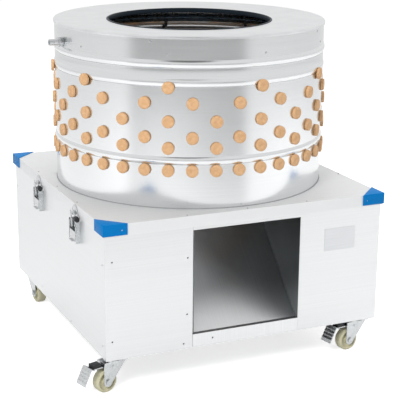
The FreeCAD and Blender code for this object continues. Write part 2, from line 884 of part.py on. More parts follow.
def make_drum():
    inner = bead_outline(wall_inner)
    inner[0] = (wall_inner, deck_top + sheet)
    flange = [(drum_radius - foot_flange, deck_top + sheet), (drum_radius - foot_flange, deck_top)]
    shell = turned(bead_outline(drum_radius) + inner[::-1] + flange)
    r0, r1 = wall_inner - 6, drum_radius + 6
    holes = [radial(neck_radius + neck_clearance, r0, r1, d, deck_top + z) for d,
             z in drum_finger_places()]
    holes += [radial(rivet_radius + fit, r0, r1, d - 90, deck_top + drum_height - ring_rivet_drop)
              for d in ring_rivet_deg]
    holes += [radial(rivet_radius + fit, r0, r1, d, pipe_z) for d in clip_angles()]
    holes.append(radial(inlet_radius + fit, r0, r1, inlet_deg - 90, pipe_z))
    save("drum_shell", drilled(shell, holes))


def clip_angles():
    return [first_clip_deg - 90 + 360.0 / clip_count * i for i in range(clip_count)]


def make_ring():
    edge = drum_radius + ring_overhang
    t = ring_top
    low = t - ring_fall
    crest = edge - ring_border
    flat = mouth_radius + mouth_flat
    skirt = wall_inner - running
    profile = [
        (mouth_radius, low), (flat, low), (crest, t), (edge - 4, t), (edge - 1.2, t - 1.2),
        (edge, t - 3.5),
        (edge - 0.4, t - ring_edge_height), (drum_radius + seat_gap, t - ring_edge_height),
        (drum_radius + seat_gap, wall_top), (skirt, wall_top), (skirt, wall_top - ring_skirt),
        (skirt - sheet, wall_top - ring_skirt), (skirt - sheet, wall_top), (crest, wall_top),
        (flat, low - sheet), (mouth_radius + sheet, low - sheet), (mouth_radius + sheet, low - mouth_lip),
        (mouth_radius, low - mouth_lip),
    ]
    ring = turned(profile)
    holes = [radial(rivet_radius + fit, wall_inner - 6, drum_radius + 2, d - 90,
                    deck_top + drum_height - ring_rivet_drop)
             for d in ring_rivet_deg]
    save("top_ring", drilled(ring, holes))
    inner = mouth_radius - trim_sheet
    trim = [(inner, low - trim_height), (mouth_radius - fit, low - trim_height),
            (mouth_radius - fit, low + fit),
            (mouth_radius + trim_width, low + fit), (mouth_radius + trim_width, low + trim_sheet * 0.6),
            (mouth_radius + 1, low + trim_sheet), (inner, low + trim_sheet)]
    save("mouth_trim", turned(trim))


def make_water():
    outer = Part.makeTorus(pipe_centre, pipe_radius)
    loop = outer.cut(Part.makeTorus(pipe_centre, pipe_bore))
    drops = [moved(spun(post(nozzle_bore, -pipe_radius - 2, 0, pipe_centre, 0.0), d), z=0)
             for d in clip_angles()]
    feed = spun(post_x(inlet_bore, pipe_centre, wall_inner, 0.0, 0.0), inlet_deg - 90)
    loop = moved(drilled(loop, drops + [feed]), z=pipe_z)
    save("spray_ring", loop)
    clips = []
    for degrees in clip_angles():
        band = post_y(pipe_radius + clip_wall - fit, -clip_half, clip_half, pipe_centre, 0.0)
        foot = box(wall_inner - clip_wall, wall_inner - clip_foot, -clip_half, clip_half, -clip_tall,
                   clip_tall)
        nozzle = post(nozzle_radius, -pipe_radius - nozzle_length, -pipe_radius, pipe_centre, 0.0)
        clip = joined([band, foot, nozzle])
        clip = clip.cut(post_y(pipe_radius + neck_clearance, -clip_half - 1, clip_half + 1, pipe_centre,
                               0.0))
        clip = clip.cut(post(nozzle_bore, -pipe_radius - nozzle_length - 1, 0, pipe_centre, 0.0))
        clip = clip.cut(post_x(rivet_radius + fit, wall_inner - clip_wall - 1, wall_inner + 1, 0.0, 0.0))
        clips.append(moved(spun(clip, degrees), z=pipe_z))
    save("spray_nozzles", clips)
    inner = pipe_centre + pipe_radius + seat_gap
    stub = post_x(inlet_radius, inner, drum_radius + inlet_reach, 0.0, 0.0)
    nut = slab(hexagon(2 * inlet_hex, 0.0, 0.0), "x", drum_radius + 0.4,
               drum_radius + 0.4 + inlet_hex_length)
    inlet = joined([stub, nut]).cut(post_x(inlet_bore, inner - 1, drum_radius + inlet_reach + 1, 0.0,
                                           0.0))
    save("water_inlet", moved(spun(inlet, inlet_deg - 90), z=pipe_z))


def make_deck():
    d = deck_half
    shell = box(-d, d, -d, d, skirt_bottom, deck_top)
    shell = shell.cut(box(-d + sheet, d - sheet, -d + sheet, d - sheet, skirt_bottom - 1, deck_under))
    shell = shell.cut(post(deck_hole_radius, deck_under - 1, deck_top + 1))
    holes = [shank_hole(p, rivet_radius + fit, n) for p, n in unit_rivet_places()]
    save("deck", drilled(shell, near_tools(shell, holes)))
    guards = []
    for sx in (-1, 1):
        for sy in (-1, 1):
            o = d + guard_thickness
            e = o - guard_leg
            angle = [(o, o), (e, o), (e, d), (d, d), (d, e), (o, e)]
            flat = [(o, o), (e, o), (o, e)]
            piece = slab([(sx * x, sy * y) for x, y in angle], "z", deck_top - guard_height, deck_top)
            lid = slab([(sx * x, sy * y) for x, y in flat], "z", deck_top, deck_top + guard_top)
            guards.append(drilled(joined([piece, lid]), near_tools(piece, holes)))
    save("corner_guards", guards)


def unit_rivet_places():
    """Rivets of the drum unit: ((point, outward), grip)."""
    places = []
    edge = deck_half - deck_rivet_inset
    for along in deck_rivets_at:
        for side in (-1, 1):
            places.append((((along, side * edge, deck_top), (0, 0, 1)), sheet))
            places.append((((side * edge, along, deck_top), (0, 0, 1)), sheet))
    face = deck_half + guard_thickness
    back = face - guard_leg + guard_rivet_back
    z = deck_top - guard_height + guard_rivet_rise
    grip = guard_thickness + sheet
    for sx in (-1, 1):
        for sy in (-1, 1):
            places.append((((sx * back, sy * face, z), (0, sy, 0)), grip))
            places.append((((sx * face, sy * back, z), (sx, 0, 0)), grip))
    for place in leaf_rivet_places(True):
        places.append((place, hinge_leaf + sheet))
    for y in latch_at.values():
        for dy in (-keeper_rivet_y, keeper_rivet_y):
            place = ((-deck_half - keeper_sheet, y + dy, keeper_centre_z + 2), (-1, 0, 0))
            places.append((place, keeper_sheet + sheet))
    return places


def make_unit_rivets():
    rivets = [stud(p, rivet_head_radius, rivet_head_height, rivet_radius, n) for p,
              n in unit_rivet_places()]
    for degrees in ring_rivet_deg:
        rivets.append(wall_rivet(degrees - 90, deck_top + drum_height - ring_rivet_drop,
                                 2 * sheet + running))
    for degrees in clip_angles():
        rivets.append(wall_rivet(degrees, pipe_z, sheet + clip_wall))
    save("unit_rivets", rivets)


def wall_rivet(degrees, z, grip):
    rivet = stud(((drum_radius, 0.0, 0.0), (1, 0, 0)), rivet_head_radius, rivet_head_height,
                 rivet_radius, grip)
    return moved(spun(rivet, degrees), z=z)


# Latches on the left side: u is the distance out of the panel face

def out(u):
    return -base_half - u


def make_latches():
    bases, keepers = [], []
    for y in latch_at.values():
        plate = box(out(latch_sheet), out(0), y - latch_half, y + latch_half, latch_low, latch_high)
        sides = [box(out(latch_flange), out(0), y + a, y + b, latch_low, latch_high)
                 for a, b in ((-latch_half, -latch_half + latch_sheet),
                              (latch_half - latch_sheet, latch_half))]
        base = joined([plate] + sides)
        reach = latch_half + 1.5
        near = lever_half - cheek - 1
        pins = []
        for side in (-1, 1):
            start = (out(lever_pivot_out), y + side * near, lever_pivot_z)
            pins.append(rod(stub_pin, start, (out(lever_pivot_out), y + side * reach, lever_pivot_z)))
        base = base.cut(rod(stub_pin + fit, (out(lever_pivot_out), y - reach, lever_pivot_z),
                            (out(lever_pivot_out), y + reach, lever_pivot_z)))
        bases += [drilled(base, near_tools(base, base_rivet_holes()))] + pins
        keepers.append(make_keeper(y))
    save("latch_bases", bases)
    save("latch_keepers", keepers)
    for name, y in latch_at.items():
        save(name + "_latch_lever", make_lever(y))
        save(name + "_latch_bail", make_bail(y))


def make_keeper(y):
    u0 = deck_half - base_half
    disc = post_x(keeper_half, out(u0 + keeper_sheet), out(u0), y, keeper_centre_z)
    low = keeper_centre_z - keeper_foot
    disc = disc.cut(box(out(u0 + 10), out(u0 - 10), y - 50, y + 50, low - 100, keeper_centre_z))
    foot = box(out(u0 + keeper_sheet), out(u0), y - keeper_half, y + keeper_half, low, keeper_centre_z)
    ledge_top = bail_bar_z - bail_wire - ledge_play
    reach = u0 + ledge_reach
    ledge = box(out(reach), out(u0), y - ledge_half, y + ledge_half, ledge_top - ledge_thickness,
                ledge_top)
    keeper = joined([disc, foot, ledge])
    tools = [shank_hole(p, rivet_radius + fit, n) for p, n in unit_rivet_places()]
    return drilled(keeper, near_tools(keeper, tools))


def arm_point():
    a = math.radians(bail_arm_deg)
    return lever_pivot_out + bail_arm * math.cos(a), lever_pivot_z + bail_arm * math.sin(a)


def make_lever(y):
    u, z = arm_point()
    pivot = (out(lever_pivot_out), lever_pivot_z)
    parts = [box(out(latch_flange), out(latch_flange - cheek), y - lever_half, y + lever_half,
                 lever_low, z - web_drop)]
    parts.append(box(out(latch_flange + tab_reach), out(latch_flange - cheek), y - tab_half, y + tab_half,
                     lever_low - cheek, lever_low))
    for side in (-1, 1):
        y0, y1 = sorted((y + side * lever_half, y + side * (lever_half - cheek)))
        outline = [(out(cheek_in), lever_low), (out(latch_flange), lever_low),
                   (out(latch_flange), lever_pivot_z),
                   (out(cheek_in), lever_pivot_z)]
        plate = slab([(a, b) for a, b in outline], "y", y0, y1)
        eye = post_y(lever_pivot_out - cheek_in, y0, y1, *pivot)
        parts += [plate, eye]
    lever = joined(parts)
    reach = lever_half + 1
    lever = lever.cut(rod(stub_pin + lever_play, (pivot[0], y - reach, pivot[1]),
                          (pivot[0], y + reach, pivot[1])))
    return lever.cut(rod(bail_wire + lever_play, (out(u), y - reach, z), (out(u), y + reach, z)))


def make_bail(y):
    u, z = arm_point()
    pieces = []
    for side in (-1, 1):
        foot = (out(u), y + side * bail_half, z)
        head = (out(bail_bar_out), y + side * bail_half, bail_bar_z)
        pieces.append(rod(bail_wire, foot, head))
        pieces.append(rod(bail_wire, foot, (out(u), y + side * (lever_half + 0.4), z)))
        for at in (foot, head):
            pieces.append(Part.makeSphere(bail_wire, Vector(*at)))
    pieces.append(rod(bail_wire, (out(bail_bar_out), y - bail_half, bail_bar_z),
                      (out(bail_bar_out), y + bail_half, bail_bar_z)))
    share = (grip_z - z) / (bail_bar_z - z)
    at = u + (bail_bar_out - u) * share
    near = y - bail_half - bail_wire - grip_gap
    pieces.append(rod(bail_wire, (out(at), y - bail_half, grip_z),
                      (out(at), near - grip_length / 2, grip_z)))
    knob = post_y(grip_radius, near - grip_length, near, out(at), grip_z)
    knob = knob.cut(post_y(bail_wire, near - grip_length / 2, near + 1, out(at), grip_z))
    return [joined(pieces), knob]


# Hinges on the right side

def make_hinges():
    x = deck_half + hinge_axis_out
    z = skirt_bottom
    step = 2 * hinge_half / knuckles
    upper, lower = [], []
    for y in (-hinge_y, hinge_y):
        low = [box(base_half, base_half + hinge_leaf, y - hinge_half, y + hinge_half,
                   lower_leaf_high - hinge_leaf_height, lower_leaf_high)]
        high = [box(deck_half, deck_half + hinge_leaf, y - hinge_half, y + hinge_half, upper_leaf_low,
                    upper_leaf_high)]
        for i in range(knuckles):
            y0 = y - hinge_half + i * step + knuckle_gap
            y1 = y - hinge_half + (i + 1) * step - knuckle_gap
            barrel = post_y(knuckle_radius, y0, y1, x, z)
            if i % 2:
                high += [barrel, box(deck_half, x - 1, y0, y1, z, upper_leaf_low + 1)]
            else:
                low += [barrel, box(base_half, x - 1, y0, y1, lower_leaf_high - 1, z - seat_gap)]
        play = post_y(hinge_pin_radius + running, y - hinge_half - 1, y + hinge_half + 1, x, z)
        tight = post_y(hinge_pin_radius + fit, y - hinge_half - 1, y + hinge_half + 1, x, z)
        low = joined(low).cut(tight)
        lower.append(drilled(low, near_tools(low, base_rivet_holes())))
        high = joined(high).cut(play)
        tools = [shank_hole(p, rivet_radius + fit, n) for p, n in unit_rivet_places()]
        upper.append(drilled(high, near_tools(high, tools)))
        pin = [post_y(hinge_pin_radius, y - hinge_half, y + hinge_half, x, z)]
        pin.append(post_y(hinge_pin_radius + 1.5, y - hinge_half - 1.5, y - hinge_half, x, z))
        pin.append(post_y(hinge_pin_radius + 1.5, y + hinge_half, y + hinge_half + 1.5, x, z))
        lower.append(joined(pin))
    save("hinge_lower_leaves", lower)
    save("hinge_upper_leaves", upper)


# Control box on the right side

def make_controls():
    x0, x1 = base_half, base_half + control_depth
    y0, y1 = control_y - control_half, control_y + control_half
    z0, z1 = control_low, control_low + control_height
    w = control_wall
    shell = box(x0, x1, y0, y1, z0, z1).cut(box(x0 + w, x1 + 1, y0 + w, y1 - w, z0 + w, z1 - w))
    shell = shell.cut(post_x(gland_wire_radius, x0 - 1, x0 + w + 1, control_y, (z0 + z1) / 2))
    gland_x = x0 + control_depth / 2
    shell = shell.cut(post(gland_thread, z0 - 1, z0 + w + 1, gland_x, control_y))
    save("control_box", shell)
    cover = box(x1, x1 + cover_thickness, y0, y1, z0, z1)
    middle = (z0 + z1) / 2
    levels = {"start_button": middle + button_spacing / 2, "stop_button": middle - button_spacing / 2}
    for z in levels.values():
        cover = cover.cut(post_x(button_radius + button_play, x1 - 1, x1 + cover_thickness + 1,
                                 control_y, z))
    save("control_cover", cover)
    for name, z in levels.items():
        stem = post_x(button_radius, x1 - button_flange, x1 + cover_thickness + button_proud, control_y,
                      z)
        flange = post_x(button_radius + 2.5, x1 - button_flange, x1 - button_play, control_y, z)
        save(name, joined([stem, flange]))
    body = pipe(gland_radius, gland_bore, z0 - gland_length, z0, gland_x, control_y)
    thread = pipe(gland_thread - fit, gland_bore, z0, z0 + w + 4, gland_x, control_y)
    nut = slab(hexagon(2 * gland_radius + 3, gland_x, control_y), "z", z0 - 7, z0)
    gland = joined([body, thread, nut]).cut(post(gland_bore, z0 - gland_length - 1, z0 + w + 5, gland_x,
                                                 control_y))
    save("cable_gland", gland)


# Casters, built with the wheel trailing along +X and then turned


def caster_places():
    for name in caster_turns:
        sx = -1 if "left" in name else 1
        sy = -1 if "front" in name else 1
        yield name, sx * caster_at, sy * caster_at


def placed(shape, name, x, y):
    return moved(spun(shape, caster_turns[name]), x, y)


def fork(name, braked):
    t, r = caster_trail, wheel_radius
    back, front = -crown_radius + 2, hood_front
    crown = joined([post(crown_radius, crown_low, crown_top),
                    box(back, front, -fork_half, fork_half, crown_low, crown_top)])
    pieces = [crown]
    outline = [(back, crown_low), (front, crown_low), (t + fork_eye - 0.2, r + 2),
               (t - fork_eye + 3, r - 7)]
    for y0, y1 in ((-fork_half, -fork_half + fork_sheet), (fork_half - fork_sheet, fork_half)):
        pieces += [slab(outline, "y", y0, y1), post_y(fork_eye, y0, y1, t, r)]
    body = joined(pieces).cut(post(kingpin_radius + neck_clearance, crown_low - 1, crown_top + 1))
    far = fork_half + 1
    body = body.cut(post_y(axle_radius + fit, -far, far, t, r))
    side = head_side[name]
    bolt = [post_y(axle_radius, -fork_half - axle_end, fork_half + axle_end, t, r)]
    h0, h1 = sorted((side * fork_half, side * (fork_half + axle_end)))
    bolt.append(post_y(axle_head_radius, h0, h1, t, r))
    n0, n1 = sorted((-side * fork_half, -side * (fork_half + axle_end - 1)))
    nut = slab([(t + x, r + z) for x, z in hexagon(2 * axle_head_radius, 0.0, 0.0)], "y", n0, n1)
    solids = [body, joined(bolt), nut.cut(post_y(axle_radius + fit, n0 - 1, n1 + 1, t, r))]
    if braked:
        px, pz = pedal_pivot
        solids[0] = solids[0].cut(post_y(pedal_pin + fit, -far, far, px, pz))
        solids.append(post_y(pedal_pin, -fork_half - 1.5, fork_half + 1.5, px, pz))
    return solids


def wheel():
    h = wheel_width / 2
    hub = fork_half - fork_sheet - 1.0
    r = wheel_radius
    bore = axle_radius + running
    profile = [
        (bore, -hub), (wheel_hub_radius, -hub), (wheel_hub_radius, -wheel_web),
        (r - wheel_rim, -wheel_web),
        (r - wheel_rim + 2, -h), (r - wheel_round, -h), (r - 1, -h + wheel_round), (r, 0),
        (r - 1, h - wheel_round),
        (r - wheel_round, h), (r - wheel_rim + 2, h), (r - wheel_rim, wheel_web),
        (wheel_hub_radius, wheel_web),
        (wheel_hub_radius, hub), (bore, hub),
    ]
    tread = wheel_width / 2 - wheel_round
    profile[6:9] = [(r - 0.6, -tread), (r, -tread + 2), (r, tread - 2), (r - 0.6, tread)]
    lying = spun(turned(profile), 90, axis=(1, 0, 0))
    return moved(lying, caster_trail, 0, wheel_radius)


def pedal():
    px, pz = pedal_pivot
    s = pedal_sheet
    top = pz + pedal_eye - 2
    upper = [(px, top), (pedal_knee, top), (pedal_crest, top + pedal_lift), (pedal_reach, pedal_tip_z)]
    lower = [(pedal_reach - s, pedal_tip_z - 1), (pedal_crest - 1, top + pedal_lift - s - 1),
             (pedal_knee + 0.5, top - s)]
    plate = slab(upper + lower + [(px, top - s)], "y", -pedal_foot_half, pedal_foot_half)
    for side in (-1, 1):
        y0, y1 = sorted((side * pedal_half, side * (pedal_foot_half + 1)))
        plate = plate.cut(box(px - 1, pedal_knee, y0, y1, top - s - 1, top + 1))
    eye = post_y(pedal_eye, -pedal_sides, pedal_sides, px, pz)
    ridges = []
    for i in range(pedal_ridges):
        f = (i + 1.0) / (pedal_ridges + 1)
        x = pedal_crest + (pedal_reach - pedal_crest) * f
        z = top + pedal_lift + (pedal_tip_z - top - pedal_lift) * f
        ridges.append(post_y(1.5, -pedal_foot_half, pedal_foot_half, x, z))
    steel = joined([plate, eye] + ridges).cut(post_y(pedal_pin + running, -pedal_sides - 1,
                                                     pedal_sides + 1, px, pz))
    grip = box(pad_start, pedal_knee, -pedal_half + 1, pedal_half - 1, top, top + pedal_pad)
    return [steel, grip]


def make_casters():
    plates = []
    h = plate_half
    low = base_z - plate_sheet
    for name, x, y in caster_places():
        plate = joined([box(x - h, x + h, y - h, y + h, low, base_z),
                        post(race_radius, low - race_height, low, x, y)])
        plate = plate.cut(post(kingpin_radius + fit, low - race_height - 1, base_z + 1, x, y))
        plates.append(drilled(plate, near_tools(plate, bolt_holes())))
        pin = [post(kingpin_radius, crown_low - 1, base_z, x, y),
               post(kingpin_head, crown_low - 5, crown_low - 0.5, x, y)]
        plates.append(joined(pin))
        save(name + "_fork", [placed(s, name, x, y) for s in fork(name, "front" in name)])
        save(name + "_wheel", placed(wheel(), name, x, y))
        if "front" in name:
            save(name + "_pedal", [placed(s, name, x, y) for s in pedal()])
    save("caster_plates", plates)


def main():
    os.makedirs("parts", exist_ok=True)
    make_frame()
    make_panels()
    make_chute()
    make_drive()
    make_motor()
    make_deck()
    make_drum()
    make_ring()
    make_water()
    make_fingers()
    make_unit_rivets()
    make_latches()
    make_hinges()
    make_controls()
    make_casters()


main()
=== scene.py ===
# %% [markdown]
# # A poultry plucker
#
# The machine is a drum of stainless sheet with rubber fingers, on a square box with four casters.
# The imported model gives every solid its place. This lesson dresses those solids: it gives each piece its
# finish, rounds its edges, and draws again what a render shows better than a solid does.
# We start with the frame.

# %% Load the frame
import json
import math
import bpy
import bmesh
from mathutils import Matrix, Vector

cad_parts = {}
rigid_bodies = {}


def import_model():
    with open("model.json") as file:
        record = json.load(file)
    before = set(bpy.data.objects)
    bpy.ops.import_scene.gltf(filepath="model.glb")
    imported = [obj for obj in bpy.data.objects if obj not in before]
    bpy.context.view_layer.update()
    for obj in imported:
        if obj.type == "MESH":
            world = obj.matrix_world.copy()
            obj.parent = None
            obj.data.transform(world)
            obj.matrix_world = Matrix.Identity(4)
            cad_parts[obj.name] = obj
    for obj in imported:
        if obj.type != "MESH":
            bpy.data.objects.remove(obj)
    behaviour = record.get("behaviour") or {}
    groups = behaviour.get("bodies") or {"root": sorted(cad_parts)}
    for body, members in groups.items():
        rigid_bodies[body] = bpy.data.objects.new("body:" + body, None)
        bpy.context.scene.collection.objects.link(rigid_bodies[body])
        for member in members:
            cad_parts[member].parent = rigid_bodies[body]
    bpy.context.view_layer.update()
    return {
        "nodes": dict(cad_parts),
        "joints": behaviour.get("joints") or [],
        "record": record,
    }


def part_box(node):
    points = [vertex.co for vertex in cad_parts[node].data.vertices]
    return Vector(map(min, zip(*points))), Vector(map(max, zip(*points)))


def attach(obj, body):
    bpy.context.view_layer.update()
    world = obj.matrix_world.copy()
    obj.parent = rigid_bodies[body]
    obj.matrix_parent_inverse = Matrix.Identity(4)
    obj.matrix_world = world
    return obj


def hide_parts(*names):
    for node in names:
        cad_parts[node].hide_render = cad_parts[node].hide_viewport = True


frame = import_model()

MM = 0.001
body_of_node = {}
for body, names in frame["record"]["behaviour"]["bodies"].items():
    for name in names:
        body_of_node[name] = body

# %% [markdown]
# ## The camera
#
# The picture is taken from the front left and a little above, with a fairly long lens, so the upright
# edges nearly stay parallel. A camera looks along its own -Z axis, with +X to the right and +Y up.
# We work out those three directions from how far it is turned, tilted and rolled.

# %% Camera
turned = math.radians(24.26)
tilted = math.radians(15.90)
rolled = math.radians(0.58)
ahead = Vector((math.sin(turned) * math.cos(tilted), math.cos(turned) * math.cos(tilted), -math.sin(tilted)))
level = Vector((math.cos(turned), -math.sin(turned), 0.0))
upright = level.cross(ahead)
right = level * math.cos(rolled) + upright * math.sin(rolled)
above = upright * math.cos(rolled) - level * math.sin(rolled)
lens = bpy.data.cameras.new("studio_camera")
lens.lens = 108.8
lens.sensor_width = 36.0
lens.clip_end = 50.0
camera = bpy.data.objects.new("studio_camera", lens)
bpy.context.collection.objects.link(camera)
axes = Matrix((right, above, -ahead)).transposed().to_4x4()
camera.matrix_world = Matrix.Translation((-1.448, -3.304, 1.428)) @ axes
bpy.context.scene.camera = camera
bpy.context.scene.view_settings.view_transform = "Standard"
print("camera at", [round(v, 3) for v in camera.location])

# %% [markdown]
# ## Helpers for node trees
#
# Materials, the world and Geometry Nodes are all trees of nodes. One small function adds a node, sets
# it up and links it, so each tree below reads as a list. Two shorter ones stand for what comes back
# most: a step of arithmetic, and a soft ramp from one value to another. Colours are written as the hex
# values that a picture program shows, and are turned into the linear values that light is computed with.

# %% Node and colour helpers
def add(tree, kind, settings=None, links=None):
    made = tree.nodes.new(kind)
    for key, value in (settings or {}).items():
        setattr(made, key, value)
    for key, value in (links or {}).items():
        if isinstance(value, bpy.types.NodeSocket):
            tree.links.new(value, made.inputs[key])
        else:
            made.inputs[key].default_value = value
    return made


def calc(tree, operation, *values):
    """The result of one step of arithmetic on up to three values."""
    return add(tree, "ShaderNodeMath", {"operation": operation}, dict(enumerate(values))).outputs[0]


def ramp(tree, value, start, end, low=0.0, high=1.0):
    """Goes softly from low to high while the value goes from start to end."""
    made = add(tree, "ShaderNodeMapRange", {"interpolation_type": "SMOOTHSTEP"},
               {"Value": value, "From Min": start, "From Max": end, "To Min": low, "To Max": high})
    return made.outputs[0]


def paint(hexed):
    """Linear colour of an sRGB hex value such as '#D8A878'."""
    linear = []
    for i in (1, 3, 5):
        v = int(hexed[i:i + 2], 16) / 255.0
        linear.append(v / 12.92 if v <= 0.04045 else ((v + 0.055) / 1.055) ** 2.4)
    return (*linear, 1.0)


print("mid grey is", [round(v, 3) for v in paint("#808080")])

# %% [markdown]
# ## The studio
#
# The background of a product picture is pure white, while the object on it is not overexposed.
# So the floor adds some light of its own, but only for rays that come from the camera, and a little for
# rays that were mirrored on metal. Its shadow stays. Bare metal shows what surrounds it. The camera looks
# down a little, so upright sheet mirrors the floor, which is duller near the machine than far off, and
# a grey band of it behind the camera draws the soft band down the drum. Beads curve upwards and mirror
# the tent, which is bright with a grey zone of its own.

# %% Floor and world
FLOOR_WHITE = 0.70
FLOOR_NEAR = 0.32
FLOOR_FAR = 0.48
FLOOR_BAND = 0.05
TENT_SOFT = 0.38
TENT_BRIGHT = 0.92
TENT_GREY = 0.20


def empty_material(name):
    made = bpy.data.materials.new(name)
    made.use_nodes = True
    made.node_tree.nodes.clear()
    return made, made.node_tree


def vector_step(tree, operation, *values):
    return add(tree, "ShaderNodeVectorMath", {"operation": operation}, dict(enumerate(values))).outputs


floor_paint, tree = empty_material("studio_floor_matt_paper")
seen = add(tree, "ShaderNodeLightPath").outputs
direct = calc(tree, "MAXIMUM", seen["Is Camera Ray"], seen["Is Transmission Ray"])
where = add(tree, "ShaderNodeTexCoord")
level_only = vector_step(tree, "MULTIPLY", where.outputs["Object"], (1, 1, 0))[0]
outwards = vector_step(tree, "NORMALIZE", level_only)[0]
towards = Vector((-ahead.x, -ahead.y, 0.0)).normalized()
facing = vector_step(tree, "DOT_PRODUCT", outwards, towards)["Value"]
reach = vector_step(tree, "LENGTH", level_only)["Value"]
behind = ramp(tree, facing, 0.60, 0.76)
beyond = ramp(tree, reach, 1.8, 2.2)
grey = calc(tree, "MULTIPLY", behind, beyond)
near_far = ramp(tree, reach, 1.4, 2.4, FLOOR_NEAR, FLOOR_FAR)
dim = add(tree, "ShaderNodeMix", {"data_type": "FLOAT"}, {0: grey, 2: near_far, 3: FLOOR_BAND})
mirrored = calc(tree, "MULTIPLY", seen["Is Glossy Ray"], dim.outputs[0])
glow = calc(tree, "MULTIPLY_ADD", direct, FLOOR_WHITE, mirrored)
paper = add(tree, "ShaderNodeBsdfDiffuse", None, {"Color": paint("#E8E8E8")})
light = add(tree, "ShaderNodeEmission", None, {"Color": (1, 1, 1, 1), "Strength": glow})
both = add(tree, "ShaderNodeAddShader", None, {0: paper.outputs[0], 1: light.outputs[0]})
add(tree, "ShaderNodeOutputMaterial", None, {"Surface": both.outputs[0]})

bpy.ops.mesh.primitive_plane_add(size=24.0, location=(0, 0, 0))
floor = bpy.context.object
floor.name = "studio_floor"
floor.data.materials.append(floor_paint)

world = bpy.data.worlds.new("studio_tent")
world.use_nodes = True
bpy.context.scene.world = world
tree = world.node_tree
tree.nodes.clear()


def tent(strength):
    """Plain white light of one strength, from all round."""
    return add(tree, "ShaderNodeBackground", None, {"Color": (1, 1, 1, 1), "Strength": strength}).outputs[0]


seen = add(tree, "ShaderNodeLightPath").outputs
direct = calc(tree, "MAXIMUM", seen["Is Camera Ray"], seen["Is Transmission Ray"])
where = add(tree, "ShaderNodeTexCoord")
back = Vector((-ahead.x, -ahead.y, 0.93)).normalized()
facing = vector_step(tree, "DOT_PRODUCT", where.outputs["Generated"], back)["Value"]
zone = ramp(tree, facing, 0.925, 0.975, TENT_BRIGHT, TENT_GREY)
mirrored = add(tree, "ShaderNodeMixShader", None,
               {0: seen["Is Glossy Ray"], 1: tent(TENT_SOFT), 2: tent(zone)})
final = add(tree, "ShaderNodeMixShader", None, {0: direct, 1: mirrored.outputs[0], 2: tent(1.0)})
add(tree, "ShaderNodeOutputWorld", None, {"Surface": final.outputs[0]})
print("floor and tent are up")

# %% [markdown]
# ## The lamps
#
# Three large soft boxes: one high at the front left, a weaker one at the right, and one overhead.
# A lamp points along its own -Z axis, so it gets the turn that brings that axis onto its target. The metal
# doesn't mirror them: it shows the tent alone.

# %% Soft boxes
def soft_box(name, place, target, watts, width):
    lamp = bpy.data.lights.new(name, "AREA")
    lamp.energy = watts
    lamp.size = width
    made = bpy.data.objects.new(name, lamp)
    bpy.context.collection.objects.link(made)
    made.location = place
    made.rotation_euler = (Vector(target) - Vector(place)).to_track_quat("-Z", "Y").to_euler()
    made.visible_glossy = False
    return made


lamps = [
    soft_box("lamp_front_left", (-2.6, -2.6, 3.0), (0, 0, 0.5), 115.0, 1.4),
    soft_box("lamp_right", (3.2, -1.6, 2.2), (0, 0, 0.5), 35.0, 1.6),
    soft_box("lamp_overhead", (0.3, 0.8, 3.6), (0, 0, 0.6), 55.0, 2.2),
]
print("lamps:", [lamp.name for lamp in lamps])

# %% [markdown]
# ## How the finishes are made
#
# Almost every finish here is the same short tree: a noise pattern on Object coordinates, stretched along
# the grain, shifts the colour a little, moves the roughness, and lifts the surface by a few hundredths of
# a millimetre. Object coordinates are metres, so a grain of g mm needs a noise scale of 1000 / g.
# A stretched pattern has one size along each axis: long along the brushing, short across it.

# %% One builder for the finishes
def per_metre(size_mm):
    return 1000.0 / size_mm


def finish(name, dark, pale, rough, grain=(6.0, 6.0, 6.0), metallic=0.0, rough_swing=0.06, lift_mm=0.02,
           detail=3.0, spots=None, **sockets):
    made, tree = empty_material(name)
    where = add(tree, "ShaderNodeTexCoord")
    scaled = add(tree, "ShaderNodeMapping", None, {"Vector": where.outputs["Object"]})
    scaled.inputs["Scale"].default_value = [per_metre(size) for size in grain]
    noise = add(tree, "ShaderNodeTexNoise", None,
                {"Vector": scaled.outputs[0], "Scale": 1.0, "Detail": detail})
    share = add(tree, "ShaderNodeMapRange", None,
                {"Value": noise.outputs[0], "From Min": 0.3, "From Max": 0.7})
    colour = add(tree, "ShaderNodeMix", {"data_type": "RGBA"},
                 {0: share.outputs[0], 6: paint(dark), 7: paint(pale)})
    tint = colour.outputs[2]
    if spots:
        hexed, size_mm, cover = spots
        cloud = add(tree, "ShaderNodeTexNoise", None,
                    {"Vector": where.outputs["Object"], "Scale": per_metre(size_mm), "Detail": 4.0})
        patch = ramp(tree, cloud.outputs[0], 0.62, 0.72, 0.0, cover)
        mixed = add(tree, "ShaderNodeMix", {"data_type": "RGBA"}, {0: patch, 6: tint, 7: paint(hexed)})
        tint = mixed.outputs[2]
    gloss = add(tree, "ShaderNodeMapRange", None,
                {"Value": noise.outputs[0], "From Min": 0.3, "From Max": 0.7,
                 "To Min": rough - rough_swing / 2, "To Max": rough + rough_swing / 2})
    bump = add(tree, "ShaderNodeBump", None,
               {"Height": noise.outputs[0], "Distance": lift_mm * MM, "Strength": 0.6})
    surface = add(tree, "ShaderNodeBsdfPrincipled", None,
                  {"Base Color": tint, "Roughness": gloss.outputs[0], "Normal": bump.outputs[0],
                   "Metallic": metallic})
    for key, value in sockets.items():
        surface.inputs[key.replace("_", " ")].default_value = value
    add(tree, "ShaderNodeOutputMaterial", None, {"Surface": surface.outputs[0]})
    return made


print("a 0.5 mm grain has noise scale", per_metre(0.5))

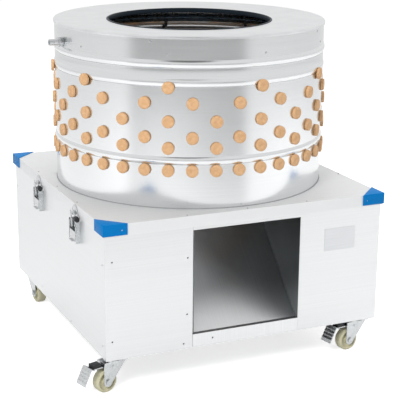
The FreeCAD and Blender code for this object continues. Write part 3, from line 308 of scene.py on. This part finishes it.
# %% [markdown]
# ## Stainless sheet
#
# The panels and the drum are cold rolled stainless sheet, about 1.5 mm thick, ground to a fine even line.
# The grinding lines run level. Real ones are 0.05 mm wide, too fine for this picture, so they are drawn
# 1.2 mm wide and 300 mm long. That gives the eye a metal that blurs what it mirrors, a bit more upwards
# and downwards than to the sides. The lid lies flat, so its lines need another axis.

# %% Stainless finishes
drum_steel = finish("stainless_sheet_drum_ground_level", "#DDDFE0", "#E5E6E7", 0.20,
                    grain=(300, 300, 1.2), metallic=1.0, rough_swing=0.05, lift_mm=0.006)
panel_steel = finish("stainless_sheet_panel_ground_level", "#DDDFE0", "#E3E4E5", 0.36,
                     grain=(300, 300, 1.2), metallic=1.0, rough_swing=0.03, lift_mm=0.004)
lid_steel = finish("stainless_sheet_lid_ground_lengthways", "#E2E3E4", "#E8E9EA", 0.50,
                   grain=(300, 1.2, 300), metallic=0.45, rough_swing=0.03, lift_mm=0.004)
ring_steel = finish("stainless_sheet_ring_spun", "#DEE0E1", "#EAEBEC", 0.30,
                    grain=(60, 60, 60), metallic=1.0, rough_swing=0.05, lift_mm=0.004)
# The chute's side walls get a much darker colour than the other sheet: that is painted shade of the deep
# chute, not a darker metal.
chute_wall_painted_shade = finish("stainless_sheet_chute_wall_painted_shade", "#777A7D", "#85888B", 0.30,
                    grain=(1.2, 200, 200), metallic=1.0, rough_swing=0.06, lift_mm=0.01)
chute_steel = finish("stainless_sheet_chute_ground_downwards", "#DEE0E1", "#E8E9EA", 0.34,
                     grain=(1.2, 200, 200), metallic=1.0, rough_swing=0.08, lift_mm=0.01)
plate_steel = finish("stainless_sheet_turning_plate", "#BFC2C4", "#CDD0D2", 0.34,
                     grain=(40, 40, 40), metallic=1.0, rough_swing=0.1, lift_mm=0.006)
tube_steel = finish("stainless_square_tube_mill_finish", "#B9BBBC", "#C8CACB", 0.42,
                    grain=(25, 25, 25), metallic=1.0, rough_swing=0.12, lift_mm=0.02)
dark_pipe = finish("stainless_pipe_heat_darkened", "#3E4C58", "#566470", 0.28,
                   grain=(20, 20, 20), metallic=1.0, rough_swing=0.08, lift_mm=0.01)
print("steels:", [m.name for m in bpy.data.materials if m.name.startswith("stainless")])

# %% [markdown]
# ## Plated, turned and cast metal
#
# Latches, hinges, casters and screws are pressed steel with a bright zinc coat: cooler and a little
# duller than stainless, with a faint cloudy pattern some 8 mm wide. The shafts are turned steel, and the
# pulleys and the bearing housing are cast iron under grey paint, which keeps the sand's grain of 1.5 mm.

# %% Other metals
zinc = finish("zinc_plated_pressed_steel", "#C3C6C8", "#D3D5D6", 0.30, grain=(8, 8, 8), metallic=1.0,
              rough_swing=0.12, lift_mm=0.01)
bright_screw = finish("stainless_screw_bright", "#B4B6B8", "#CACCCE", 0.22, grain=(3, 3, 3), metallic=1.0,
                      rough_swing=0.06, lift_mm=0.004)
turned_steel = finish("carbon_steel_turned", "#8E9092", "#A4A6A8", 0.28, grain=(120, 120, 0.8), metallic=1.0,
                      rough_swing=0.1, lift_mm=0.01)
cast_iron = finish("cast_iron_grey_primer", "#4A4D50", "#5A5D60", 0.55, grain=(1.5, 1.5, 1.5), lift_mm=0.12,
                   spots=("#3C3E40", 14.0, 0.5))
motor_paint = finish("aluminium_motor_blue_grey_enamel", "#3C4C60", "#475A70", 0.38, grain=(2.0, 2.0, 2.0),
                     lift_mm=0.05, spots=("#34424F", 22.0, 0.4))
box_paint = finish("sheet_steel_grey_powder_coat", "#B9BCBE", "#C6C9CB", 0.45, grain=(0.9, 0.9, 0.9),
                   lift_mm=0.05)
label_film = finish("aluminium_label_satin", "#D4D6D9", "#DEE0E2", 0.40, grain=(80, 80, 0.8), metallic=0.6,
                    rough_swing=0.05, lift_mm=0.002)
print("materials so far:", len(bpy.data.materials))

# %% [markdown]
# ## Rubber and plastics
#
# The fingers are moulded natural rubber, tan, matt and slightly mottled, with talc left in the hollows.
# The corner guards are injection moulded polypropylene in a clear blue, the wheels cream nylon, and the
# latch grips and pedal pads black rubber. Moulded plastic has a fine spark-eroded grain of about 0.6 mm.

# %% Rubber and plastic finishes
finger_rubber = finish("natural_rubber_tan_moulded", "#D0A272", "#E0B68C", 0.62, grain=(7, 7, 7),
                       lift_mm=0.10, detail=5.0, spots=("#E8C396", 11.0, 0.45))
guard_blue = finish("polypropylene_blue_moulded", "#0070B6", "#007CC4", 0.45, grain=(0.6, 0.6, 0.6),
                    lift_mm=0.03, spots=("#0A84C8", 30.0, 0.3), Specular_IOR_Level=0.1)
trim_rubber = finish("rubber_trim_blue_black", "#0A141C", "#101E28", 0.45, grain=(1.0, 1.0, 1.0),
                     lift_mm=0.03, Specular_IOR_Level=0.2)
wheel_cream = finish("nylon_cream_moulded", "#C6C2A2", "#D2CEB0", 0.42, grain=(3, 3, 3), lift_mm=0.03,
                     spots=("#AFA888", 18.0, 0.35))
black_rubber = finish("rubber_black_moulded", "#141517", "#202224", 0.5, grain=(1.0, 1.0, 1.0), lift_mm=0.05)
belt_rubber = finish("rubber_belt_black_cloth_back", "#17181A", "#26282A", 0.7, grain=(0.8, 0.8, 0.8),
                     lift_mm=0.1)
# Grey for the thin ring at the drum's foot: painted shade of the joint between drum and deck.
foot_ring_painted_shade = finish("drum_foot_ring_painted_shade", "#8A8C8E", "#9A9C9E", 0.5, grain=(5, 5, 5), lift_mm=0.03)
button_green = finish("abs_button_green", "#0C7A38", "#128842", 0.25, grain=(4, 4, 4), lift_mm=0.004)
button_red = finish("abs_button_red", "#B01812", "#BE201A", 0.25, grain=(4, 4, 4), lift_mm=0.004)
print("materials so far:", len(bpy.data.materials))

# %% [markdown]
# ## Dressing a solid
#
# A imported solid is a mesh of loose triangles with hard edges. Real pressed and machined edges are slightly
# round and catch a line of light. So we copy such a solid, merge its corner points, take out the lines
# inside flat faces, bevel the edges by a given width, and smooth what curves. The copy then stands for
# the solid and rides on the same body. The bevel cuts into the solid, so it never grows.

# %% Dress a node
SHARP = 32.0
SAME_SPOT = 0.002 * MM
FLAT_TURN = 0.5
FLAT_FACE = 0.0025


def settle(made, material, *nodes, body=None):
    """Gives a finished piece its material, and lets it stand for its nodes and ride on their body."""
    if material is not None:
        made.data.materials.clear()
        made.data.materials.append(material)
    if nodes:
        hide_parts(*nodes)
    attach(made, body or body_of_node[nodes[0]])
    return made


def soften(mesh, degrees=SHARP):
    mesh.shade_smooth()
    mesh.set_sharp_from_angle(angle=math.radians(degrees))


def clean_copy(node):
    bm = bmesh.new()
    bm.from_mesh(frame["nodes"][node].data)
    bmesh.ops.remove_doubles(bm, verts=bm.verts, dist=SAME_SPOT)
    bmesh.ops.dissolve_limit(bm, angle_limit=math.radians(FLAT_TURN), verts=bm.verts, edges=bm.edges)
    return bm


def put_up(name, mesh):
    """A new object for the mesh, linked to the scene."""
    made = bpy.data.objects.new(name, mesh)
    bpy.context.collection.objects.link(made)
    return made


def mesh_from(name, bm):
    mesh = bpy.data.meshes.new(name)
    bm.to_mesh(mesh)
    bm.free()
    return mesh


def dress(node, material, edge_mm):
    """A finished copy of a node, with its sharp edges rounded."""
    name = node + "_piece"
    made = put_up(name, mesh_from(name, clean_copy(node)))
    round_edges(made, edge_mm)
    return settle(made, material, node)


def round_edges(made, edge_mm):
    """Bevels the sharp edges. Faces that are large and face along an axis then stay flat beside them."""
    bevel = made.modifiers.new("round edges", "BEVEL")
    bevel.width = edge_mm * MM
    bevel.segments = 2
    bevel.limit_method = "ANGLE"
    bevel.angle_limit = math.radians(SHARP)
    bevel.use_clamp_overlap = True
    bake(made)
    soften(made.data)
    for face in made.data.polygons:
        if face.area > FLAT_FACE and max(abs(v) for v in face.normal) > 0.99999:
            face.use_smooth = False


def bake(made):
    """Turns an object with modifiers into a plain mesh."""
    bpy.context.view_layer.update()
    evaluated = made.evaluated_get(bpy.context.evaluated_depsgraph_get())
    mesh = bpy.data.meshes.new_from_object(evaluated)
    made.modifiers.clear()
    made.data = mesh
    return made


plain = {
    "left_side_panel": (panel_steel, 0.4), "right_side_panel": (panel_steel, 0.4),
    "rear_panel": (panel_steel, 0.4), "front_left_panel": (panel_steel, 0.4),
    "front_right_panel": (panel_steel, 0.4), "deck": (lid_steel, 1.2), "chute_floor": (chute_steel, 0.4),
    "chute_side_walls": (chute_wall_painted_shade, 0.4), "catch_tray": (tube_steel, 0.4),
    "rating_plate": (label_film, 0.2), "base_frame": (tube_steel, 1.0), "corner_guards": (guard_blue, 0.8),
    "caster_plates": (zinc, 0.6), "latch_bases": (zinc, 0.4), "latch_keepers": (zinc, 0.4),
    "front_latch_lever": (zinc, 0.4), "rear_latch_lever": (zinc, 0.4), "hinge_lower_leaves": (zinc, 0.4),
    "hinge_upper_leaves": (zinc, 0.4), "control_box": (box_paint, 1.0), "control_cover": (box_paint, 1.2),
    "cable_gland": (black_rubber, 0.6), "start_button": (button_green, 1.0),
    "stop_button": (button_red, 1.0), "motor": (motor_paint, 0.5), "motor_mount": (tube_steel, 0.5),
    "motor_shaft": (turned_steel, 0.6), "drive_shaft": (turned_steel, 0.6),
    "drive_bearings": (turned_steel, 0.4), "bearing_housing": (cast_iron, 0.8),
    "driven_pulley": (cast_iron, 0.5), "motor_pulley": (cast_iron, 0.5), "v_belts": (belt_rubber, 0.5),
    "plate_hub": (turned_steel, 0.5), "feather_plate": (plate_steel, 0.5), "water_inlet": (zinc, 0.4),
}
for node, (material, edge_mm) in plain.items():
    dress(node, material, edge_mm)
print("dressed", len(plain), "nodes")

# %% [markdown]
# ## Turning a shape on a lathe
#
# The drum, its ring, the trim in its mouth, the water pipe and the wheels are all round. A short outline of
# (radius, height) points, turned about an upright axis, makes each one, with as many steps as the
# picture needs for a round outline. The outline is closed, so the shape has no open seam or pole.

# %% The lathe
def lathe(name, outline, steps=192, to=None, degrees=SHARP):
    """An outline of (radius, height) points in millimetres, turned about Z and then moved by a matrix."""
    bm = bmesh.new()
    rings = []
    for i in range(steps):
        a = 2 * math.pi * i / steps
        rings.append([bm.verts.new((r * math.cos(a) * MM, r * math.sin(a) * MM, z * MM)) for r, z in outline])
    count = len(outline)
    for i in range(steps):
        here, after = rings[i], rings[(i + 1) % steps]
        for j in range(count):
            k = (j + 1) % count
            bm.faces.new((here[j], after[j], after[k], here[k]))
    bmesh.ops.remove_doubles(bm, verts=bm.verts, dist=0.0000001)
    bmesh.ops.recalc_face_normals(bm, faces=bm.faces)
    if to is not None:
        bmesh.ops.transform(bm, matrix=to, verts=bm.verts)
    mesh = mesh_from(name, bm)
    soften(mesh, degrees)
    return put_up(name, mesh)


def millimetres(node):
    low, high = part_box(node)
    return [v / MM for v in low], [v / MM for v in high]


low, high = millimetres("drum_shell")
drum_foot, wall_top = low[2], high[2]
ring_top = millimetres("top_ring")[1][2]
print("drum from", round(drum_foot, 1), "to", round(wall_top, 1), "mm")

# %% [markdown]
# ## The drum wall
#
# The wall is one sheet rolled to a cylinder of 800 mm, 1.5 mm thick. Three beads are rolled into it to
# keep it round: two close together near the top and one low down. A bead bulges outwards like half a
# wave. The top edge of each is soft and its lower edge is crisp, as the roller leaves it, so it shows
# a bright line above and a thin dark one below.

# %% Drum wall with its beads
DRUM_RADIUS = 400.0
SHEET = 1.5
BEADS = ((126.0, 2.8), (342.0, 2.4), (392.0, 3.4))
BEAD_HEIGHT = 21.0


def wall_outline(radius, foot):
    points = [(radius, foot)]
    for rise, proud in BEADS:
        points += [(radius, drum_foot + rise - 2.0), (radius - 1.6, drum_foot + rise - 1.0)]
        for i in range(13):
            share = i / 12
            swell = proud * math.sin(math.pi * share) ** 0.85
            points.append((radius + swell, drum_foot + rise + BEAD_HEIGHT * share))
    return points + [(radius, wall_top)]


outline = wall_outline(DRUM_RADIUS, drum_foot)
outline += wall_outline(DRUM_RADIUS - SHEET, drum_foot + SHEET)[::-1]
outline += [(DRUM_RADIUS - 12, drum_foot + SHEET), (DRUM_RADIUS - 12, drum_foot)]
settle(lathe("drum_wall", outline, 224, degrees=24), drum_steel, "drum_shell")
# A thin grey ring at the drum's foot draws the grey line where the drum meets the deck: its grey is painted
# shade of that joint.
foot_ring = [(DRUM_RADIUS + out, drum_foot + up)
        for out, up in ((0.05, 0.05), (2.2, 0.05), (1.9, 1.1), (0.9, 2.0), (0.05, 2.3))]
settle(lathe("drum_foot_seal", foot_ring, 160), foot_ring_painted_shade, body="drum_unit")
print("drum wall with", len(outline), "outline points")

# %% [markdown]
# ## The ring and the mouth
#
# The ring is spun from one disc. It has a flat border, falls gently towards the mouth, and its outer
# edge is rolled over the wall. A dark trim clips over the cut edge of the mouth.

# %% Ring and trim
EDGE = DRUM_RADIUS + 3.0
MOUTH = 242.5
FALL = 4.0
crest = EDGE - 22.0
low_z = ring_top - FALL
skirt = DRUM_RADIUS - SHEET - 0.05
outline = [(MOUTH, low_z - 0.1), (MOUTH + 8, low_z), (crest - 3, ring_top - 0.12), (crest, ring_top),
           (EDGE - 4, ring_top)]
for i in range(1, 7):
    a = math.radians(90 - 15 * i)
    outline.append((EDGE - 4 + 4 * math.cos(a), ring_top - 4 + 4 * math.sin(a)))
outline += [(EDGE - 0.3, ring_top - 8), (DRUM_RADIUS + 0.3, ring_top - 8), (DRUM_RADIUS + 0.3, wall_top),
            (skirt, wall_top), (skirt, wall_top - 24), (skirt - SHEET, wall_top - 24),
            (skirt - SHEET, wall_top),
            (crest, wall_top), (MOUTH + 8, low_z - SHEET), (MOUTH + SHEET, low_z - SHEET),
            (MOUTH + SHEET, low_z - SHEET - 8), (MOUTH, low_z - SHEET - 8)]
settle(lathe("ring_spun", outline, 224, degrees=28), ring_steel, "top_ring")
low, high = millimetres("mouth_trim")
inner, outer = MOUTH - 2.0, high[0]
outline = [(inner, low[2]), (MOUTH - 0.05, low[2]), (MOUTH - 0.05, low_z + 0.05), (outer, low_z + 0.05),
           (outer - 0.2, low_z + 1.0), (outer - 1.5, high[2] - 0.3), (MOUTH, high[2]),
           (inner + 0.5, high[2] - 0.3), (inner, high[2] - 1.0)]
settle(lathe("mouth_trim_clip", outline, 192, degrees=50), trim_rubber, "mouth_trim")
print("ring", round(2 * EDGE, 1), "mm across, mouth", round(2 * MOUTH, 1), "mm")

# %% [markdown]
# ## The water pipe
#
# A pipe runs round the drum just under the ring and rinses the birds. It is bent to a circle and held
# by clips. Its outline on the lathe is simply a small circle, standing off the axis.

# %% Water pipe
low, high = millimetres("spray_ring")
PIPE = (high[2] - low[2]) / 2
pipe_at, pipe_z = high[0] - PIPE, (low[2] + high[2]) / 2
outline = [(pipe_at + PIPE * math.cos(math.pi * i / 10), pipe_z + PIPE * math.sin(math.pi * i / 10))
           for i in range(20)]
settle(lathe("water_pipe_round", outline, 160), dark_pipe, "spray_ring")
print("pipe radius", round(PIPE, 1), "at", round(pipe_at, 1), "mm")

# %% [markdown]
# ## Copies round a ring, with Geometry Nodes
#
# Rubber fingers, plate fingers and nozzles stand in rings. A small tree makes one ring of copies: it places
# count points at a radius and height, each a step of angle further, and turns a copy of a shape outwards
# at each. The tree adds its ring to the geometry that comes in, so one modifier per row stacks up all
# rows. Realize Instances makes real mesh of the copies, because an export would drop them.

# %% Tree: one ring of copies
def socket_of(tree, name):
    """The identifier of a tree's input, by which a modifier is told its value."""
    for item in tree.interface.items_tree:
        if item.item_type == "SOCKET" and item.in_out == "INPUT" and item.name == name:
            return item.identifier
    raise KeyError(name)


def geometry_tree(name, inputs):
    tree = bpy.data.node_groups.new(name, "GeometryNodeTree")
    tree.interface.new_socket("Geometry", in_out="INPUT", socket_type="NodeSocketGeometry")
    for label, kind in inputs:
        tree.interface.new_socket(label, in_out="INPUT", socket_type=kind)
    tree.interface.new_socket("Geometry", in_out="OUTPUT", socket_type="NodeSocketGeometry")
    return tree, add(tree, "NodeGroupInput"), add(tree, "NodeGroupOutput")


ring_tree, given, result = geometry_tree("one ring of copies", (
    ("Shape", "NodeSocketObject"), ("Count", "NodeSocketInt"), ("First Angle", "NodeSocketFloat"),
    ("Step Angle", "NodeSocketFloat"), ("Radius", "NodeSocketFloat"), ("Height", "NodeSocketFloat"),
    ("Finish", "NodeSocketMaterial")))
number = add(ring_tree, "GeometryNodeInputIndex")
angle = calc(ring_tree, "MULTIPLY_ADD", number.outputs[0], given.outputs["Step Angle"],
             given.outputs["First Angle"])
x = calc(ring_tree, "MULTIPLY", calc(ring_tree, "COSINE", angle), given.outputs["Radius"])
y = calc(ring_tree, "MULTIPLY", calc(ring_tree, "SINE", angle), given.outputs["Radius"])
spot = add(ring_tree, "ShaderNodeCombineXYZ", None, {0: x, 1: y, 2: given.outputs["Height"]})
points = add(ring_tree, "GeometryNodePoints", None,
             {"Count": given.outputs["Count"], "Position": spot.outputs[0]})
turn = add(ring_tree, "ShaderNodeCombineXYZ", None, {2: angle})
shape = add(ring_tree, "GeometryNodeObjectInfo", None, {"Object": given.outputs["Shape"]})
copies = add(ring_tree, "GeometryNodeInstanceOnPoints", None,
             {"Points": points.outputs[0], "Instance": shape.outputs["Geometry"],
              "Rotation": turn.outputs[0]})
solid = add(ring_tree, "GeometryNodeRealizeInstances", None, {0: copies.outputs[0]})
painted = add(ring_tree, "GeometryNodeSetMaterial", None,
              {"Geometry": solid.outputs[0], "Material": given.outputs["Finish"]})
whole = add(ring_tree, "GeometryNodeJoinGeometry", None, {0: given.outputs["Geometry"]})
ring_tree.links.new(painted.outputs[0], whole.inputs[0])
ring_tree.links.new(whole.outputs[0], result.inputs[0])


def add_copies(made, tree, settings):
    modifier = made.modifiers.new("copies", "NODES")
    modifier.node_group = tree
    for label, value in settings.items():
        modifier[socket_of(tree, label)] = value


def stack(name, tree, settings_list):
    """An empty mesh with one modifier of the tree for each set of inputs, baked to a plain mesh."""
    made = put_up(name, bpy.data.meshes.new(name))
    for settings in settings_list:
        add_copies(made, tree, settings)
    return bake(made)


print("ring tree has", len(ring_tree.nodes), "nodes")

# %% [markdown]
# ## One rubber finger
#
# A finger is pushed through the wall from outside until its neck snaps into the hole. Outside stays a
# round head like a button, 35 mm across, and inside sticks a tapered finger with ribs that pull out the
# feathers. Its outline is turned about its own axis and then laid along +X, the way out of the drum.

# %% Finger shape
HEAD = 17.4
HEAD_THICK = 8.5
NECK = 9.9
SHOULDER = 13.0
ROOT = 11.0
TIP = 7.5
RIBS = 5
RIB_DEEP = 1.2
FINGER_LONG = 88.0
BEAD_SEAT = 2.6


def finger_shape(name, head_seat, shoulder_seat, tip):
    root = shoulder_seat - 5.0
    outline = [(0.05, tip), (TIP - 2.0, tip), (TIP, tip + 3)]
    pitch = (root - tip - 6) / RIBS
    for i in range(RIBS):
        low = tip + 3 + i * pitch
        r = TIP + (ROOT - TIP) * (i + 0.5) / RIBS
        outline += [(r - RIB_DEEP, low + 0.15 * pitch), (r - RIB_DEEP, low + 0.4 * pitch),
                    (r, low + 0.55 * pitch), (r, low + pitch)]
    outline += [(ROOT, root), (SHOULDER, root), (SHOULDER, shoulder_seat), (NECK, shoulder_seat),
                (NECK, head_seat), (HEAD - 1, head_seat), (HEAD, head_seat + 1)]
    face = head_seat + HEAD_THICK
    outline += [(HEAD - 0.1, face - 2.4), (HEAD - 0.8, face - 0.9), (HEAD - 2.3, face - 0.1), (7.0, face),
                (5.5, face - 0.7), (0.05, face - 0.9)]
    lying = Matrix.Rotation(math.radians(90), 4, "Y")
    return lathe(name, outline, 20, to=lying, degrees=40)


inner_seat = math.sqrt((DRUM_RADIUS - SHEET) ** 2 - SHOULDER ** 2) - 0.02
tip_at = inner_seat - FINGER_LONG
on_wall = finger_shape("shape_finger_on_wall", DRUM_RADIUS, inner_seat, tip_at)
on_bead = finger_shape("shape_finger_on_bead", DRUM_RADIUS + BEAD_SEAT, inner_seat, tip_at)
print("finger shape has", len(on_wall.data.polygons), "faces")

# %% [markdown]
# ## The finger pattern
#
# Seen from outside, the heads stand in 38 columns. The lowest row fills every column, right under the low
# bead. Above it, rows of every second column alternate, and the highest row fills every fourth one
# and sits on the middle bead. 38 isn't a multiple of four, so that row leaves one gap at the back.
# Each row is its height above the foot, its first column, its step and its count, and takes one modifier.

# %% Drum fingers
COLUMNS = 38
FIRST = -31.52 - 90.0
STEP = 360.0 / COLUMNS
BEAD_ROW = 339.0
rows = ((BEAD_ROW, -16, 4, 9), (295.0, 1, 2, 19), (245.0, 0, 2, 19), (200.0, 1, 2, 19), (171.0, 0, 2, 19),
        (108.0, 0, 1, COLUMNS))
settings = []
for level_mm, start, every, count in rows:
    settings.append({
        "Shape": on_bead if level_mm == BEAD_ROW else on_wall, "Count": count,
        "First Angle": math.radians(FIRST + STEP * start), "Step Angle": math.radians(STEP * every),
        "Radius": 0.0, "Height": (drum_foot + level_mm) * MM, "Finish": finger_rubber})
fingers = settle(stack("drum_fingers_moulded", ring_tree, settings), None, "drum_fingers")
print("drum fingers:", sum(row[3] for row in rows), "with", len(fingers.data.polygons), "faces")

# %% [markdown]
# ## The fingers on the turning plate
#
# The plate at the bottom of the drum carries the same fingers, standing up in three rings. We turn a copy of
# the shape upright first.

# %% Plate fingers
PLATE = 4.0
plate_rings = ((275.0, 20), (192.0, 14), (108.0, 8))
plate_top = millimetres("feather_plate")[1][2]
upright_shape = finger_shape("shape_finger_upright", PLATE + 0.02, 0.0, -FINGER_LONG)
upright_shape.data.transform(Matrix.Rotation(math.radians(90), 4, "Y"))
upright_shape.data.transform(Matrix.Translation((0, 0, (plate_top + 0.02) * MM)))
settings = []
for radius, count in plate_rings:
    settings.append({"Shape": upright_shape, "Count": count, "First Angle": math.pi / count,
                     "Step Angle": 2 * math.pi / count, "Radius": radius * MM, "Height": 0.0,
                     "Finish": finger_rubber})
settle(stack("plate_fingers_moulded", ring_tree, settings), None, "plate_fingers")
print("plate fingers:", sum(count for radius, count in plate_rings))

# %% [markdown]
# ## Copies on points that face a way
#
# Screws and rivets sit on flat and round faces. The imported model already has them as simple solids, so
# we read their places off its mesh: each loose island is one fastener. It faces the way in which its end
# is round and wider than its foot. On the drum only the way straight out is tried. The second tree places
# a finer screw or rivet on each point, and turns its Z axis to the stored outward direction.

# %% Tree: copies facing outwards
facing_tree, given, result = geometry_tree("copies facing outwards", (
    ("Shape", "NodeSocketObject"), ("Finish", "NodeSocketMaterial"), ("Turn Seed", "NodeSocketInt")))
way = add(facing_tree, "GeometryNodeInputNamedAttribute", {"data_type": "FLOAT_VECTOR"}, {"Name": "outward"})
aimed = add(facing_tree, "FunctionNodeAlignRotationToVector", {"axis": "Z"}, {"Vector": way.outputs[0]})
chance = add(facing_tree, "FunctionNodeRandomValue", {"data_type": "FLOAT"},
             {2: 0.0, 3: 2 * math.pi, "Seed": given.outputs["Turn Seed"]})
twist = add(facing_tree, "ShaderNodeCombineXYZ", None, {2: chance.outputs[1]})
turned_by = add(facing_tree, "FunctionNodeRotateRotation", {"rotation_space": "LOCAL"},
                {0: aimed.outputs[0], 1: twist.outputs[0]})
shape = add(facing_tree, "GeometryNodeObjectInfo", None, {"Object": given.outputs["Shape"]})
copies = add(facing_tree, "GeometryNodeInstanceOnPoints", None,
             {"Points": given.outputs["Geometry"], "Instance": shape.outputs["Geometry"],
              "Rotation": turned_by.outputs[0]})
solid = add(facing_tree, "GeometryNodeRealizeInstances", None, {0: copies.outputs[0]})
painted = add(facing_tree, "GeometryNodeSetMaterial", None,
              {"Geometry": solid.outputs[0], "Material": given.outputs["Finish"]})
facing_tree.links.new(painted.outputs[0], result.inputs[0])


def islands(node):
    """Corner points of each loose part of a node, in metres."""
    bm = clean_copy(node)
    bm.verts.ensure_lookup_table()
    left = set(range(len(bm.verts)))
    found = []
    while left:
        queue = [left.pop()]
        part = []
        while queue:
            vert = bm.verts[queue.pop()]
            part.append(vert.co.copy())
            for edge in vert.link_edges:
                other = edge.other_vert(vert).index
                if other in left:
                    left.remove(other)
                    queue.append(other)
        found.append(part)
    bm.free()
    return found


ON_DRUM = 40.0


def place_of(part, head_height):
    """(point under the head, outward direction) of one fastener."""
    middle = sum(part, Vector()) / len(part)
    ways = [Vector(way) for way in ((1, 0, 0), (-1, 0, 0), (0, 1, 0), (0, -1, 0), (0, 0, 1), (0, 0, -1))]
    if middle.z > (drum_foot + ON_DRUM) * MM:
        ways = [Vector((middle.x, middle.y, 0)).normalized()]
    best = None
    for way in ways:
        reach = [point.dot(way) for point in part]
        top = max(reach)
        spread = [point for point, r in zip(part, reach) if r > top - head_height * 1.2]
        foot = [point for point, r in zip(part, reach) if r < min(reach) + head_height * 0.2]
        wide = max((p - q).length for p in spread for q in spread)
        thin = max((p - q).length for p in foot for q in foot) if foot else 0
        ring = [p - way * p.dot(way) for p in spread]
        centre = sum(ring, Vector()) / len(ring)
        uneven = max(abs((p - centre).length - (ring[0] - centre).length) for p in ring)
        score = wide - thin - 3 * uneven
        if best is None or score > best[0]:
            best = (score, centre + way * (top - head_height), way)
    return best[1], best[2]


def fastened(name, node, shape, head_height_mm, material):
    """Copies of a fastener shape for all the fasteners of a node."""
    places = [place_of(part, head_height_mm * MM) for part in islands(node)]
    mesh = bpy.data.meshes.new(name)
    mesh.from_pydata([point for point, way in places], [], [])
    attribute = mesh.attributes.new("outward", "FLOAT_VECTOR", "POINT")
    for i, (point, way) in enumerate(places):
        attribute.data[i].vector = way
    made = put_up(name, mesh)
    add_copies(made, facing_tree, {"Shape": shape, "Finish": material, "Turn Seed": 1})
    settle(bake(made), None, node)
    return places


print("facing tree has", len(facing_tree.nodes), "nodes")

# %% [markdown]
# ## Screws, rivets and bolts
#
# The panels are held by button head screws with a hexagon socket, the deck and the guards by blind
# rivets, which have a small hole in the middle, and the casters and the drive by hexagon bolts.

# %% Fastener shapes
screw = lathe("shape_button_screw", [
    (0.05, -2.0), (2.3, -2.0), (2.3, 0.02), (4.2, 0.02), (4.15, 0.7), (3.6, 1.5), (2.6, 1.95), (1.6, 2.0),
    (1.4, 1.9), (1.3, 0.9), (0.05, 0.8)], 12, degrees=40)
rivet = lathe("shape_blind_rivet", [
    (0.05, -1.4), (1.9, -1.4), (1.9, 0.02), (3.4, 0.02), (3.3, 0.4), (2.6, 1.0), (1.5, 1.2), (1.1, 1.15),
    (1.0, 0.6), (0.05, 0.5)], 16, degrees=40)
screw_places = fastened("panel_screws_button", "panel_screws", screw, 2.0, bright_screw)
rivet_places = fastened("unit_rivets_blind", "unit_rivets", rivet, 1.2, bright_screw)
print("screws:", len(screw_places), "rivets:", len(rivet_places))

# %% Bolts
for node, edge in (("machine_bolts", 0.5), ("plate_bolts", 0.6)):
    dress(node, zinc, edge)
print("bolts dressed")

# %% [markdown]
# ## Casters
#
# Each caster is a pressed fork on a double ball race, a cream nylon wheel, and on the front ones a brake
# pedal with a black pad. The forks are dressed from the solids. The wheels are turned on the lathe and
# laid on their axle. Half of a wheel's outline is given, and the other half mirrors it. The axle's place
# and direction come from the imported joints.

# %% Wheels and forks
joint_of_child = {joint["child"]: joint for joint in frame["joints"]}
half = [(5.06, -15.5), (11, -15.5), (12, -14.6), (12.4, -9.5), (14, -8), (22.5, -8), (24, -9.5),
        (25.2, -12.6), (27, -13.8), (29.6, -13.6), (31.6, -12.2), (32.7, -9.8), (33, -7)]
wheel = half + [(r, -z) for r, z in reversed(half)]
for corner in ("front_left", "front_right", "rear_left", "rear_right"):
    joint = joint_of_child[corner + "_roller"]
    turn = Vector(joint["axis"]).to_track_quat("Z", "Y").to_matrix().to_4x4()
    laid = Matrix.Translation(joint["pos_m"]) @ turn
    settle(lathe(corner + "_wheel_moulded", wheel, 72, to=laid), wheel_cream, corner + "_wheel")
    dress(corner + "_fork", zinc, 0.5)
print("four casters")

# %% [markdown]
# ## Pieces of two materials
#
# A pedal is zinc plated steel with a black pad, and a latch bail is spring wire with a black grip. Each
# is one node of two solids. We walk over the loose parts of the copy, and a small test on the size of the
# part and the place of a face picks the material: the pad is a thin part, and the grip lies on one side.

# %% Two-material pieces
PAD_THIN = 0.015
GRIP_ABOVE = 0.440
GRIP_OFFSET = 0.0243


def parts_of(bm):
    left = set(bm.faces)
    while left:
        queue = [left.pop()]
        part = []
        while queue:
            face = queue.pop()
            part.append(face)
            for edge in face.edges:
                for other in edge.link_faces:
                    if other in left:
                        left.remove(other)
                        queue.append(other)
        yield part


def dress_two(node, first, second, is_second):
    bm = clean_copy(node)
    for part in parts_of(bm):
        corners = [vert.co for face in part for vert in face.verts]
        size = [max(c[i] for c in corners) - min(c[i] for c in corners) for i in range(3)]
        for face in part:
            face.material_index = 1 if is_second(size, face.calc_center_median()) else 0
    mesh = mesh_from(node + "_piece", bm)
    mesh.materials.append(first)
    mesh.materials.append(second)
    made = put_up(node + "_piece", mesh)
    round_edges(made, 0.4)
    return settle(made, None, node)


for side in ("front", "rear"):
    grip_side = joint_of_child[side + "_lever"]["pos_m"][1] - GRIP_OFFSET
    dress_two(side + "_latch_bail", zinc, black_rubber,
              lambda size, spot: spot.z > GRIP_ABOVE and spot.y < grip_side)
for corner in ("front_left", "front_right"):
    dress_two(corner + "_pedal", zinc, black_rubber, lambda size, spot: size[2] < PAD_THIN)
dress("spray_nozzles", dark_pipe, 0.4)
print("bails, pedals and nozzles done")

# %% [markdown]
# ## Putting the tools away
#
# The shapes that were copied are no piece of the machine, so they go.

# %% Finish
for made in [made for made in bpy.data.objects if made.name.startswith("shape_")]:
    bpy.data.objects.remove(made)
